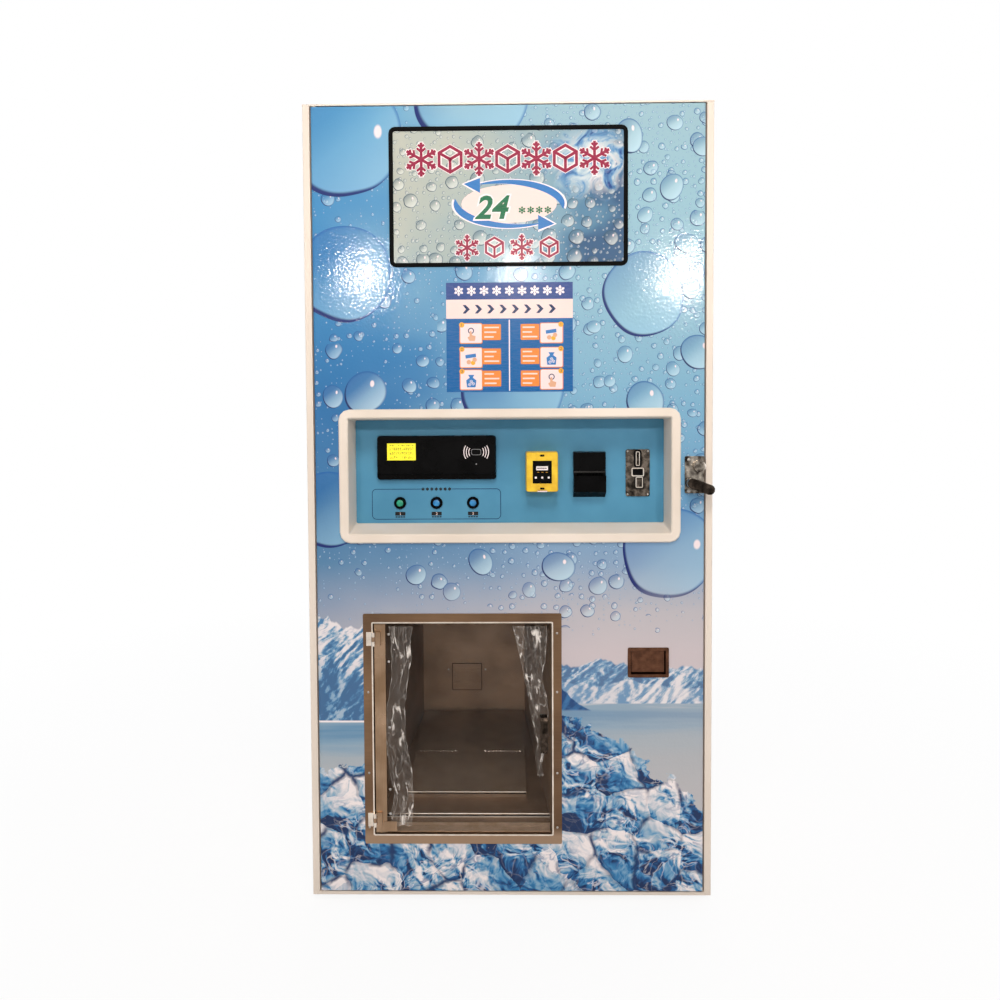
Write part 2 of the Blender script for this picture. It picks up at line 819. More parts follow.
def shroud_rear():
    return condenser_rear() - CONDENSER_DEPTH - SHROUD_GAP


def base_floor():
    return at_height(BASE_SHEET) + FIT


def fan_z():
    return base_floor() + CONDENSER_HEIGHT / 2


def fan_y():
    return shroud_rear() - SHROUD_RIM / 2


# Cabinet

def make_feet(mat):
    side = CABINET_WIDTH / 2 - FOOT_INSET
    corners = {
        "foot_front_left": (-side, FOOT_INSET),
        "foot_front_right": (side, FOOT_INSET),
        "foot_rear_left": (-side, CABINET_DEPTH - FOOT_INSET),
        "foot_rear_right": (side, CABINET_DEPTH - FOOT_INSET),
    }
    profile = [
        (0, 0),
        (FOOT_RADIUS, 0),
        (FOOT_RADIUS, FOOT_PAD_HEIGHT / 2),
        (FOOT_STEM_RADIUS, FOOT_PAD_HEIGHT),
        (FOOT_STEM_RADIUS, FOOT_HEIGHT - FIT),
        (0, FOOT_HEIGHT - FIT),
    ]
    for name, (x, depth) in corners.items():
        foot = turned(profile, "z", (x, at_depth(depth), 0), SMALL_STEPS)
        finish(foot, name, mat["rubber"], smooth=True)


def side_outline(side):
    # Plan of a side panel: a slab with a rounded outer front edge.
    outer = side * CABINET_WIDTH / 2
    inner = side * INNER_HALF
    front = at_depth(0)
    rear = at_depth(CABINET_DEPTH)
    hub_x = outer - side * SIDE_EDGE_RADIUS
    hub_y = front + SIDE_EDGE_RADIUS
    points = [(inner, rear), (inner, front)]
    for i in range(CORNER_STEPS + 1):
        angle = pi / 2 * i / CORNER_STEPS
        x = hub_x + side * SIDE_EDGE_RADIUS * sin(angle)
        points.append((x, hub_y - SIDE_EDGE_RADIUS * cos(angle)))
    points.append((outer, rear))
    return points


def louvre_cutter(side, index):
    # A slot through the side wall that falls towards the outside, so that rain stays out.
    inner = side * (INNER_HALF - OVERRUN)
    outer = side * (CABINET_WIDTH / 2 + OVERRUN)
    high = at_height(LOUVRE_FIRST_HEIGHT + index * LOUVRE_PITCH)
    low = high - LOUVRE_DROP
    outline = [(inner, high), (outer, low), (outer, low + LOUVRE_SLOT), (inner, high + LOUVRE_SLOT)]
    centre = at_depth(LOUVRE_CENTRE_DEPTH)
    return prism(outline, "y", centre - LOUVRE_LENGTH / 2, centre + LOUVRE_LENGTH / 2)


def make_side_panels(mat):
    top = at_height(CABINET_HEIGHT - TOP_SHEET) - FIT
    for name, side in (("side_panel_left", -1), ("side_panel_right", 1)):
        panel = prism(side_outline(side), "z", at_height(0), top)
        cut(panel, *[louvre_cutter(side, i) for i in range(LOUVRE_COUNT)])
        finish(panel, name, mat["white"])


def fold_ring(inset_front, bottom, top):
    # An upright folded flange that runs round the inside of the walls.
    half = INNER_HALF - FIT
    front = at_depth(inset_front)
    rear = at_depth(CABINET_DEPTH - REAR_SHEET - REAR_RETURN) - SLIP
    outer = [(-half, front), (half, front), (half, rear), (-half, rear)]
    inner = [
        (-half + FOLD_SHEET, front + FOLD_SHEET),
        (half - FOLD_SHEET, front + FOLD_SHEET),
        (half - FOLD_SHEET, rear - FOLD_SHEET),
        (-half + FOLD_SHEET, rear - FOLD_SHEET),
    ]
    loops = []
    for outline, z in ((outer, bottom), (outer, top), (inner, top), (inner, bottom)):
        loops.append([(x, y, z) for x, y in outline])
    return loft(loops, ring=True)


def pivot_pin(base, direction):
    # A collar and a pin that carry the front door at one of its left corners.
    collar = DOOR_GAP - FIT
    profile = [
        (0, -direction * FOLD_SHEET),
        (PIVOT_COLLAR_RADIUS, -direction * FOLD_SHEET),
        (PIVOT_COLLAR_RADIUS, direction * collar),
        (PIVOT_RADIUS, direction * collar),
        (PIVOT_RADIUS, direction * (DOOR_GAP + PIVOT_LENGTH)),
        (0, direction * (DOOR_GAP + PIVOT_LENGTH)),
    ]
    return turned(profile, "z", (pivot_x(), at_depth(PIVOT_INSET), base), SMALL_STEPS)


def make_top_panel(mat):
    half = CABINET_WIDTH / 2
    under = at_height(CABINET_HEIGHT - TOP_SHEET)
    low = (-half, at_depth(0), under)
    high = (half, at_depth(CABINET_DEPTH), at_height(CABINET_HEIGHT))
    panel = block(low, high)
    flange = fold_ring(DOOR_DEPTH + DOOR_REAR_GAP, under - TOP_FLANGE, under + TOP_SHEET / 2)
    join(panel, flange, pivot_pin(under, -1))
    finish(panel, "top_panel", mat["white"])


def make_base_frame(mat):
    half = INNER_HALF - FIT
    low = (-half, at_depth(0), at_height(0))
    floor = at_height(BASE_SHEET)
    base = block(low, (half, at_depth(CABINET_DEPTH), floor))
    upstand = fold_ring(DOOR_DEPTH + DOOR_REAR_GAP, floor - BASE_SHEET / 2, floor + BASE_UPSTAND)
    join(base, upstand, pivot_pin(floor, 1))
    finish(base, "base_frame", mat["white"])


def make_rear_panel(mat):
    # A channel in plan: the plate and its two inward returns.
    half = INNER_HALF - FIT
    rear = at_depth(CABINET_DEPTH)
    front = rear - REAR_SHEET - REAR_RETURN
    outline = [
        (-half, rear),
        (-half, front),
        (-half + FOLD_SHEET, front),
        (-half + FOLD_SHEET, rear - REAR_SHEET),
        (half - FOLD_SHEET, rear - REAR_SHEET),
        (half - FOLD_SHEET, front),
        (half, front),
        (half, rear),
    ]
    top = at_height(CABINET_HEIGHT - TOP_SHEET) - FIT
    panel = prism(outline, "z", at_height(REAR_SPLIT_HEIGHT), top)
    finish(panel, "rear_panel", mat["white"])


def make_rear_vent(mat):
    # A framed bank of slanted blades over the refrigeration unit.
    half = INNER_HALF - FIT
    rear = at_depth(CABINET_DEPTH)
    front = rear - REAR_SHEET
    low = at_height(BASE_SHEET) + FIT
    high = at_height(REAR_SPLIT_HEIGHT) - FIT
    cover = block((-half, front, low), (half, rear, high))
    window_half = half - VENT_FRAME
    window_low = low + VENT_FRAME
    window_high = high - VENT_FRAME
    window = block(
        (-window_half, front - OVERRUN, window_low), (window_half, rear + OVERRUN, window_high)
    )
    cut(cover, window)
    pitch = (window_high - window_low) / VENT_BLADE_COUNT
    parts = []
    for i in range(VENT_BLADE_COUNT):
        top = window_low + (i + 1) * pitch - SLIP
        outline = [
            (rear - VENT_BLADE_RUN, top),
            (rear - VENT_BLADE_RUN, top - VENT_BLADE),
            (rear, top - VENT_BLADE_DROP - VENT_BLADE),
            (rear, top - VENT_BLADE_DROP),
        ]
        parts.append(prism(outline, "x", -window_half - SLIP, window_half + SLIP))
    mullion_low = (-VENT_MULLION / 2, front - VENT_BLADE_RUN / 2, window_low - SLIP)
    parts.append(block(mullion_low, (VENT_MULLION / 2, rear, window_high + SLIP)))
    join(cover, *parts)
    finish(cover, "rear_vent_cover", mat["white"])


def make_power_inlet(mat):
    # A cable gland on the rear panel: flange, nut and an open throat.
    rear = at_depth(CABINET_DEPTH) + FIT
    out = at_depth(CABINET_DEPTH) + INLET_REACH
    profile = [
        (0, rear),
        (INLET_FLANGE_RADIUS, rear),
        (INLET_FLANGE_RADIUS, rear + INLET_FLANGE),
        (INLET_NUT_RADIUS, rear + INLET_FLANGE),
        (INLET_NUT_RADIUS, out - INLET_FLANGE),
        ((INLET_NUT_RADIUS + INLET_BORE_RADIUS) / 2, out),
        (INLET_BORE_RADIUS, out),
        (INLET_BORE_RADIUS, rear + INLET_FLANGE),
        (0, rear + INLET_FLANGE),
    ]
    gland = turned(profile, "y", (INLET_X, 0, at_height(INLET_HEIGHT)), SMALL_STEPS)
    finish(gland, "power_inlet", mat["black"], smooth=True)


def make_lock_keeper(mat):
    # An angle on the right side wall, which the lock's cam turns behind.
    wall = INNER_HALF - FIT
    front = at_depth(DOOR_DEPTH) + SLIP
    outline = [
        (wall, front),
        (wall, front + KEEPER_LEG),
        (wall - KEEPER_THICKNESS, front + KEEPER_LEG),
        (wall - KEEPER_THICKNESS, front + KEEPER_THICKNESS),
        (wall - KEEPER_LIP, front + KEEPER_THICKNESS),
        (wall - KEEPER_LIP, front),
    ]
    centre = at_height(HANDLE_AXIS_HEIGHT)
    keeper = prism(outline, "z", centre - KEEPER_HEIGHT / 2, centre + KEEPER_HEIGHT / 2)
    finish(keeper, "lock_keeper", mat["zinc"])


# Front door

def make_front_door(mat, body):
    # A foam-filled slab, with its openings cut right through.
    left = door_left()
    right = -left
    front = at_depth(0)
    rear = at_depth(DOOR_DEPTH)
    outline = [(right, rear), (left, rear)]
    for side, first in ((-1, pi), (1, 1.5 * pi)):
        hub = side * (right - DOOR_EDGE_RADIUS)
        for i in range(CORNER_STEPS + 1):
            angle = first + pi / 2 * i / CORNER_STEPS
            y = front + DOOR_EDGE_RADIUS * (1 + sin(angle))
            outline.append((hub + DOOR_EDGE_RADIUS * cos(angle), y))
    door = prism(outline, "z", door_bottom(), door_top())
    cut(door, *door_holes())
    finish(door, "front_door", mat["print"], body)


def door_holes():
    # Every opening in the door: sign, recess, bay, coin cup, lock shaft and pivot bores.
    front = at_depth(0) - OVERRUN
    back = at_depth(DOOR_DEPTH) + OVERRUN
    inset = GASKET_WIDTH - GASKET_NECK - SLIP
    sign_size = (SIGN_WIDTH - 2 * inset, SIGN_HEIGHT - 2 * inset, SIGN_RADIUS - inset)
    sign = rounded_rect(SIGN_CENTRE_X, at_height(SIGN_CENTRE_HEIGHT), *sign_size)
    recess_width, recess_height = recess_opening()
    wall = 2 * (BEZEL_WALL + SLIP)
    bay = 2 * (BAY_WALL + SLIP)
    cup_width, cup_height = cup_opening()
    cup = 2 * (CUP_WALL + SLIP)
    windows = (
        (BEZEL_CENTRE_X, BEZEL_CENTRE_HEIGHT, recess_width + wall, recess_height + wall),
        (BAY_CENTRE_X, BAY_CENTRE_HEIGHT, bay_inner_width() + bay, bay_inner_height() + bay),
        (CUP_CENTRE_X, CUP_CENTRE_HEIGHT, cup_width + cup, cup_height + cup),
    )
    tools = [prism(sign, "y", front, back)]
    for x, height, width, tall in windows:
        low = (x - width / 2, front, at_height(height) - tall / 2)
        tools.append(block(low, (x + width / 2, back, at_height(height) + tall / 2)))
    shaft = HANDLE_SHAFT_RADIUS + SLIP
    lock = (HANDLE_AXIS_X, 0, at_height(HANDLE_AXIS_HEIGHT))
    tools.append(turned([(0, front), (shaft, front), (shaft, back), (0, back)], "y", lock, SMALL_STEPS))
    bore = PIVOT_RADIUS + FIT
    deep = PIVOT_LENGTH + FIT
    for edge, inward in ((door_bottom(), 1), (door_top(), -1)):
        start = -inward * OVERRUN
        end = inward * deep
        profile = [(0, start), (bore, start), (bore, end), (0, end)]
        spot = (pivot_x(), at_depth(PIVOT_INSET), edge)
        tools.append(turned(profile, "z", spot, SMALL_STEPS))
    return tools


def make_sign(mat, body):
    centre_z = at_height(SIGN_CENTRE_HEIGHT)

    def ring(inset, depth):
        radius = max(SIGN_RADIUS - inset, RECESS_CORNER)
        return upright_loop(
            SIGN_CENTRE_X,
            centre_z,
            SIGN_WIDTH - 2 * inset,
            SIGN_HEIGHT - 2 * inset,
            radius,
            at_depth(depth),
        )

    neck = GASKET_WIDTH - GASKET_NECK
    gasket = loft(
        [
            ring(0, -FIT),
            ring(0, -GASKET_PROUD + GASKET_ROUND),
            ring(GASKET_ROUND, -GASKET_PROUD),
            ring(GASKET_WIDTH - GASKET_ROUND, -GASKET_PROUD),
            ring(GASKET_WIDTH, -GASKET_PROUD + GASKET_ROUND),
            ring(GASKET_WIDTH, GASKET_DEPTH),
            ring(neck, GASKET_DEPTH),
            ring(neck, -FIT),
        ],
        ring=True,
    )
    finish(gasket, "sign_gasket", mat["rubber"], body)
    edge = GASKET_WIDTH + FIT
    panel = loft([ring(edge, 0), ring(edge, SIGN_PANEL_THICKNESS)])
    finish(panel, "sign_panel", mat["acrylic"], body)
    make_light_box(mat, body, ring, neck)


def make_light_box(mat, body, ring, neck):
    # A tray behind the sign, with its flange on the back of the door.
    skin = DOOR_DEPTH + FIT
    inner = neck - SLIP
    outer = inner - FOLD_SHEET
    flange = outer - LIGHT_BOX_FLANGE
    box = loft(
        [
            ring(outer, LIGHT_BOX_DEPTH),
            ring(outer, skin + FOLD_SHEET),
            ring(flange, skin + FOLD_SHEET),
            ring(flange, skin),
            ring(inner, skin),
            ring(inner, LIGHT_BOX_DEPTH - FOLD_SHEET),
        ]
    )
    half = SIGN_WIDTH / 2 - inner + FOLD_SHEET / 2
    profile = [(0, -half), (TUBE_RADIUS, -half), (TUBE_RADIUS, half), (0, half)]
    depth = at_depth(LIGHT_BOX_DEPTH - FOLD_SHEET - 2 * TUBE_RADIUS)
    tubes = []
    for i in range(TUBE_COUNT):
        z = at_height(SIGN_CENTRE_HEIGHT) + (i - (TUBE_COUNT - 1) / 2) * TUBE_PITCH
        tubes.append(turned(profile, "x", (SIGN_CENTRE_X, depth, z), SMALL_STEPS))
    join(box, *tubes)
    finish(box, "sign_light_box", mat["white"], body)


def recess_opening():
    return BEZEL_WIDTH - 2 * BEZEL_RIM, BEZEL_HEIGHT - 2 * BEZEL_RIM + SLIP


def recess_rear():
    # Width, height and centre of the recess at the control panel.
    width, height = recess_opening()
    rise = (RECESS_LEDGE_RISE - RECESS_TOP_DRAFT) / 2
    return (
        width - 2 * RECESS_DRAFT,
        height - RECESS_LEDGE_RISE - RECESS_TOP_DRAFT,
        at_height(BEZEL_CENTRE_HEIGHT) + rise,
    )


def make_control_bezel(mat, body):
    # A moulded rim on the door and four walls that fall back to the control panel.
    centre = at_height(BEZEL_CENTRE_HEIGHT)
    width, height = recess_opening()
    rear_width, rear_height, rear_centre = recess_rear()

    def ring(extra, base_width, base_height, z, radius, depth):
        return upright_loop(
            BEZEL_CENTRE_X, z, base_width + 2 * extra, base_height + 2 * extra, radius, at_depth(depth)
        )

    end = RECESS_DEPTH + CONTROL_PANEL_SHEET
    outer_radius = BEZEL_RADIUS - BEZEL_ROUND
    wide = RECESS_CORNER + BEZEL_WALL
    bezel = loft(
        [
            ring(0, BEZEL_WIDTH, BEZEL_HEIGHT, centre, BEZEL_RADIUS, -FIT),
            ring(0, BEZEL_WIDTH, BEZEL_HEIGHT, centre, BEZEL_RADIUS, -BEZEL_PROUD + BEZEL_ROUND),
            ring(-BEZEL_ROUND, BEZEL_WIDTH, BEZEL_HEIGHT, centre, outer_radius, -BEZEL_PROUD),
            ring(BEZEL_ROUND, width, height, centre, wide, -BEZEL_PROUD),
            ring(0, width, height, centre, RECESS_CORNER, -BEZEL_PROUD + BEZEL_ROUND),
            ring(0, rear_width, rear_height, rear_centre, RECESS_CORNER, end),
            ring(BEZEL_WALL, rear_width, rear_height, rear_centre, wide, end),
            ring(BEZEL_WALL, width, height, centre, wide, -FIT),
        ],
        ring=True,
    )
    finish(bezel, "control_bezel", mat["bezel"], body)


def make_control_panel(mat, body):
    width, height, centre = recess_rear()
    front = at_depth(RECESS_DEPTH)
    back = at_depth(RECESS_DEPTH + CONTROL_PANEL_SHEET)
    outline = rounded_rect(BEZEL_CENTRE_X, centre, width - 2 * FIT, height - 2 * FIT, RECESS_CORNER)
    panel = prism(outline, "y", front, back)
    tools = []
    bore = BUTTON_BARREL_RADIUS + FIT
    for i in range(BUTTON_COUNT):
        start = front - OVERRUN
        end = back + OVERRUN
        profile = [(0, start), (bore, start), (bore, end), (0, end)]
        tools.append(turned(profile, "y", (button_x(i), 0, button_z()), ROUND_STEPS))
    bill_z = at_height((BILL_TOP_HEIGHT + BILL_BOTTOM_HEIGHT) / 2)
    for x, z, wide, tall in (
        (BILL_CENTRE_X, bill_z, BILL_BODY_WIDTH, BILL_BODY_HEIGHT),
        (COIN_CENTRE_X, at_height(COIN_CENTRE_HEIGHT), COIN_BODY_WIDTH, COIN_BODY_HEIGHT),
    ):
        half_wide = wide / 2 + FIT
        half_tall = tall / 2 + FIT
        low = (x - half_wide, front - OVERRUN, z - half_tall)
        tools.append(block(low, (x + half_wide, back + OVERRUN, z + half_tall)))
    cut(panel, *tools)
    finish(panel, "control_panel", mat["blue"], body)


def make_display(mat, body):
    # A flat housing whose underside slopes back to the panel.
    base = RECESS_DEPTH - FIT
    face = RECESS_DEPTH - DISPLAY_PROUD
    z = at_height(DISPLAY_CENTRE_HEIGHT)
    face_height = DISPLAY_HEIGHT - DISPLAY_DRAFT - DISPLAY_CHIN
    face_z = z + (DISPLAY_CHIN - DISPLAY_DRAFT) / 2
    draft = DISPLAY_DRAFT
    radius = DISPLAY_RADIUS
    loops = []
    for width, height, centre, radius, depth in (
        (DISPLAY_WIDTH, DISPLAY_HEIGHT, z, radius, base),
        (DISPLAY_WIDTH, DISPLAY_HEIGHT, z, radius, (base + face) / 2),
        (DISPLAY_WIDTH - draft, face_height + draft, face_z, radius, face + draft),
        (DISPLAY_WIDTH - 2 * draft, face_height, face_z, radius - draft, face),
    ):
        loops.append(upright_loop(DISPLAY_CENTRE_X, centre, width, height, radius, at_depth(depth)))
    housing = loft(loops)
    half_w = WINDOW_WIDTH / 2
    half_h = WINDOW_HEIGHT / 2
    middle = at_height(WINDOW_CENTRE_HEIGHT)
    front = at_depth(face)
    pocket = block(
        (WINDOW_X - half_w, front - OVERRUN, middle - half_h),
        (WINDOW_X + half_w, front + WINDOW_RECESS, middle + half_h),
    )
    cut(housing, pocket)
    finish(housing, "display_housing", mat["black"], body)
    back = front + WINDOW_RECESS - FIT
    window = block(
        (WINDOW_X - half_w + FIT, back - WINDOW_THICKNESS, middle - half_h + FIT),
        (WINDOW_X + half_w - FIT, back, middle + half_h - FIT),
    )
    finish(window, "display_window", mat["lcd"], body)


def make_buttons(mat, bodies):
    front = at_depth(RECESS_DEPTH)
    proud = front - BUTTON_RING_PROUD
    bore = BUTTON_CAP_RADIUS + FIT
    end = front + BUTTON_BARREL_LENGTH
    ring_profile = [
        (BUTTON_RING_RADIUS, front - FIT),
        (BUTTON_RING_RADIUS, proud + BUTTON_RING_ROUND),
        (BUTTON_RING_RADIUS - BUTTON_RING_ROUND, proud),
        (bore + BUTTON_RING_ROUND, proud),
        (bore, proud + BUTTON_RING_ROUND),
        (bore, end - BUTTON_FLOOR),
        (0, end - BUTTON_FLOOR),
        (0, end),
        (BUTTON_BARREL_RADIUS, end),
        (BUTTON_BARREL_RADIUS, front - FIT),
    ]
    cap_front = proud - BUTTON_CAP_PROUD
    cap_end = cap_front + BUTTON_CAP_LENGTH
    cap_profile = [
        (0, cap_front - BUTTON_CAP_DOME),
        (BUTTON_CAP_RADIUS / 2, cap_front - BUTTON_CAP_DOME),
        (BUTTON_CAP_RADIUS, cap_front + BUTTON_CAP_DOME),
        (BUTTON_CAP_RADIUS, cap_end),
        (0, cap_end),
    ]
    for i in range(BUTTON_COUNT):
        spot = (button_x(i), 0, button_z())
        shell = turned(ring_profile, "y", spot, ROUND_STEPS, ring=True)
        finish(shell, f"button_ring_{i + 1}", mat["black"], bodies["door_body"], smooth=True)
        cap = turned(cap_profile, "y", spot, ROUND_STEPS)
        colour = mat["green"] if i == 0 else mat["button"]
        finish(cap, f"button_cap_{i + 1}", colour, bodies[f"button_body_{i + 1}"], smooth=True)


def make_terminal(mat, body):
    z = at_height(TERMINAL_CENTRE_HEIGHT)
    base = RECESS_DEPTH - FIT
    face = RECESS_DEPTH - TERMINAL_PROUD
    loops = []
    for extra, radius, depth in (
        (TERMINAL_DRAFT, TERMINAL_RADIUS, base),
        (0, TERMINAL_RADIUS, face + TERMINAL_FACE_ROUND),
        (-TERMINAL_FACE_ROUND, TERMINAL_RADIUS - TERMINAL_FACE_ROUND, face),
    ):
        width = TERMINAL_WIDTH + 2 * extra
        height = TERMINAL_HEIGHT + 2 * extra
        loops.append(upright_loop(TERMINAL_CENTRE_X, z, width, height, radius, at_depth(depth)))
    housing = loft(loops)
    front = at_depth(face)
    half_w = SCREEN_WIDTH / 2
    half_h = SCREEN_HEIGHT / 2
    pocket = block(
        (TERMINAL_CENTRE_X - half_w, front - OVERRUN, z - half_h),
        (TERMINAL_CENTRE_X + half_w, front + SCREEN_RECESS, z + half_h),
    )
    bottom = z - TERMINAL_HEIGHT / 2
    notch = block(
        (TERMINAL_CENTRE_X - NOTCH_WIDTH / 2, front - OVERRUN, bottom - OVERRUN),
        (TERMINAL_CENTRE_X + NOTCH_WIDTH / 2, front + NOTCH_DEPTH, bottom + NOTCH_HEIGHT),
    )
    cut(housing, pocket, notch)
    finish(housing, "card_terminal", mat["yellow"], body)
    back = front + SCREEN_RECESS - FIT
    screen = block(
        (TERMINAL_CENTRE_X - half_w + FIT, back - SCREEN_THICKNESS, z - half_h + FIT),
        (TERMINAL_CENTRE_X + half_w - FIT, back, z + half_h - FIT),
    )
    finish(screen, "card_terminal_screen", mat["black"], body)


def make_bill_acceptor(mat, body):
    # Side profile: flat upper face, note mouth, lower jaw, and a chin back to the panel.
    panel = at_depth(RECESS_DEPTH) - FIT
    upper = panel - BILL_PROUD
    jaw = panel - BILL_JAW_PROUD
    slot_high = at_height(BILL_SLOT_HEIGHT) + BILL_SLOT_GAP / 2
    slot_low = slot_high - BILL_SLOT_GAP
    deep = upper + BILL_MOUTH_DEPTH
    top = at_height(BILL_TOP_HEIGHT)
    outline = [
        (panel, top),
        (upper, top - BILL_DRAFT),
        (upper, slot_high + 2 * BILL_DRAFT),
        (upper - BILL_DRAFT, slot_high),
        (upper - BILL_DRAFT, slot_low),
        (jaw, slot_low - BILL_DRAFT),
        (jaw + BILL_DRAFT, at_height(BILL_FACE_BOTTOM_HEIGHT)),
        (panel, at_height(BILL_BOTTOM_HEIGHT)),
    ]
    half = BILL_WIDTH / 2
    acceptor = prism(outline, "x", BILL_CENTRE_X - half, BILL_CENTRE_X + half)
    middle = at_height((BILL_TOP_HEIGHT + BILL_BOTTOM_HEIGHT) / 2)
    body_low = (BILL_CENTRE_X - BILL_BODY_WIDTH / 2, panel - SLIP, middle - BILL_BODY_HEIGHT / 2)
    body_high = (
        BILL_CENTRE_X + BILL_BODY_WIDTH / 2,
        panel + BILL_BODY_LENGTH,
        middle + BILL_BODY_HEIGHT / 2,
    )
    join(acceptor, block(body_low, body_high))
    mouth_half = BILL_SLOT_WIDTH / 2
    mouth = block(
        (BILL_CENTRE_X - mouth_half, jaw - OVERRUN, slot_low),
        (BILL_CENTRE_X + mouth_half, deep, slot_high),
    )
    cut(acceptor, mouth)
    finish(acceptor, "bill_acceptor", mat["black"], body)


def make_coin_acceptor(mat, bodies):
    z = at_height(COIN_CENTRE_HEIGHT)
    panel = at_depth(RECESS_DEPTH) - FIT
    face = panel - COIN_PLATE_PROUD
    plate_loop = (COIN_PLATE_WIDTH, COIN_PLATE_HEIGHT, COIN_PLATE_RADIUS)
    acceptor = loft([upright_loop(COIN_CENTRE_X, z, *plate_loop, y) for y in (panel, face)])
    half_w = COIN_BODY_WIDTH / 2
    half_h = COIN_BODY_HEIGHT / 2
    body = block(
        (COIN_CENTRE_X - half_w, panel - SLIP, z - half_h),
        (COIN_CENTRE_X + half_w, panel + COIN_BODY_LENGTH, z + half_h),
    )
    join(acceptor, body)
    pockets = (
        (0, COIN_SLOT_RISE, COIN_SLOT_WIDTH, COIN_SLOT_HEIGHT, COIN_SLOT_DEPTH),
        (0, REJECT_RISE, REJECT_WIDTH, REJECT_HEIGHT, REJECT_POCKET),
        (RETURN_SLOT_SIDE, -RETURN_SLOT_DROP, RETURN_SLOT_WIDTH, RETURN_SLOT_HEIGHT, RETURN_SLOT_DEPTH),
    )
    tools = []
    for side, rise, width, height, depth in pockets:
        x = COIN_CENTRE_X + side
        low = (x - width / 2, face - OVERRUN, z + rise - height / 2)
        tools.append(block(low, (x + width / 2, face + depth, z + rise + height / 2)))
    cut(acceptor, *tools)
    finish(acceptor, "coin_acceptor", mat["zinc"], bodies["door_body"])
    half_w = REJECT_WIDTH / 2 - FIT
    half_h = REJECT_HEIGHT / 2 - FIT
    middle = reject_z()
    key = block(
        (COIN_CENTRE_X - half_w, face - REJECT_PROUD, middle - half_h),
        (COIN_CENTRE_X + half_w, face - REJECT_PROUD + REJECT_LENGTH, middle + half_h),
    )
    finish(key, "coin_reject_button", mat["black"], bodies["reject_body"])


def make_coin_cup(mat, bodies):
    z = at_height(CUP_CENTRE_HEIGHT)
    width, height = cup_opening()
    skin = at_depth(0) - FIT
    proud = at_depth(0) - CUP_PROUD
    rear = at_depth(CUP_DEPTH)
    wall = 2 * CUP_WALL
    inner_radius = CUP_RADIUS / 2
    cup = loft(
        [
            upright_loop(CUP_CENTRE_X, z, width + wall, height + wall, inner_radius + CUP_WALL, rear),
            upright_loop(CUP_CENTRE_X, z, width + wall, height + wall, inner_radius + CUP_WALL, skin),
            upright_loop(CUP_CENTRE_X, z, CUP_WIDTH, CUP_HEIGHT, CUP_RADIUS, skin),
            upright_loop(CUP_CENTRE_X, z, CUP_WIDTH, CUP_HEIGHT, CUP_RADIUS, proud),
            upright_loop(CUP_CENTRE_X, z, width, height, inner_radius, proud),
            upright_loop(CUP_CENTRE_X, z, width, height, inner_radius, rear - CUP_WALL),
        ]
    )
    finish(cup, "coin_return_cup", mat["steel"], bodies["door_body"])
    half = width / 2 - inner_radius
    bottom = z - height / 2 + FLAP_FLOOR_GAP
    pin = [(0, -half), (FLAP_PIN_RADIUS, -half), (FLAP_PIN_RADIUS, half), (0, half)]
    flap = turned(pin, "x", (CUP_CENTRE_X, flap_y(), flap_z()), SMALL_STEPS)
    plate_half = half - SLIP
    plate = block(
        (CUP_CENTRE_X - plate_half, flap_y() - FLAP_THICKNESS / 2, bottom),
        (CUP_CENTRE_X + plate_half, flap_y() + FLAP_THICKNESS / 2, flap_z()),
    )
    join(flap, plate)
    finish(flap, "coin_return_flap", mat["steel"], bodies["flap_body"])


def make_lock(mat, bodies):
    front = at_depth(0) - FIT
    face = front - LOCK_PLATE_SHEET
    z = at_height(LOCK_PLATE_CENTRE_HEIGHT)
    loop = (LOCK_PLATE_WIDTH, LOCK_PLATE_HEIGHT, RECESS_CORNER)
    plate = loft([upright_loop(LOCK_PLATE_CENTRE_X, z, *loop, y) for y in (front, face)])
    hub_face = front - LOCK_HUB_PROUD
    hub_profile = [
        (0, face + SLIP),
        (LOCK_HUB_RADIUS, face + SLIP),
        (LOCK_HUB_RADIUS, hub_face + LOCK_PLATE_SHEET),
        (LOCK_HUB_RADIUS - LOCK_PLATE_SHEET, hub_face),
        (0, hub_face),
    ]
    hub = turned(hub_profile, "y", (LOCK_HUB_X, 0, at_height(LOCK_HUB_HEIGHT)), ROUND_STEPS)
    axis = (HANDLE_AXIS_X, 0, at_height(HANDLE_AXIS_HEIGHT))
    collar_face = front - LOCK_COLLAR_PROUD
    collar_profile = [
        (0, face + SLIP),
        (LOCK_COLLAR_RADIUS, face + SLIP),
        (LOCK_COLLAR_RADIUS, collar_face),
        (0, collar_face),
    ]
    join(plate, hub, turned(collar_profile, "y", axis, ROUND_STEPS))
    bore = HANDLE_SHAFT_RADIUS + FIT
    bore_profile = [
        (0, front + OVERRUN),
        (bore, front + OVERRUN),
        (bore, collar_face - OVERRUN),
        (0, collar_face - OVERRUN),
    ]
    cut(plate, turned(bore_profile, "y", axis, SMALL_STEPS))
    finish(plate, "lock_plate", mat["zinc"], bodies["door_body"])
    make_lock_handle(mat, bodies["lock_body"], axis)


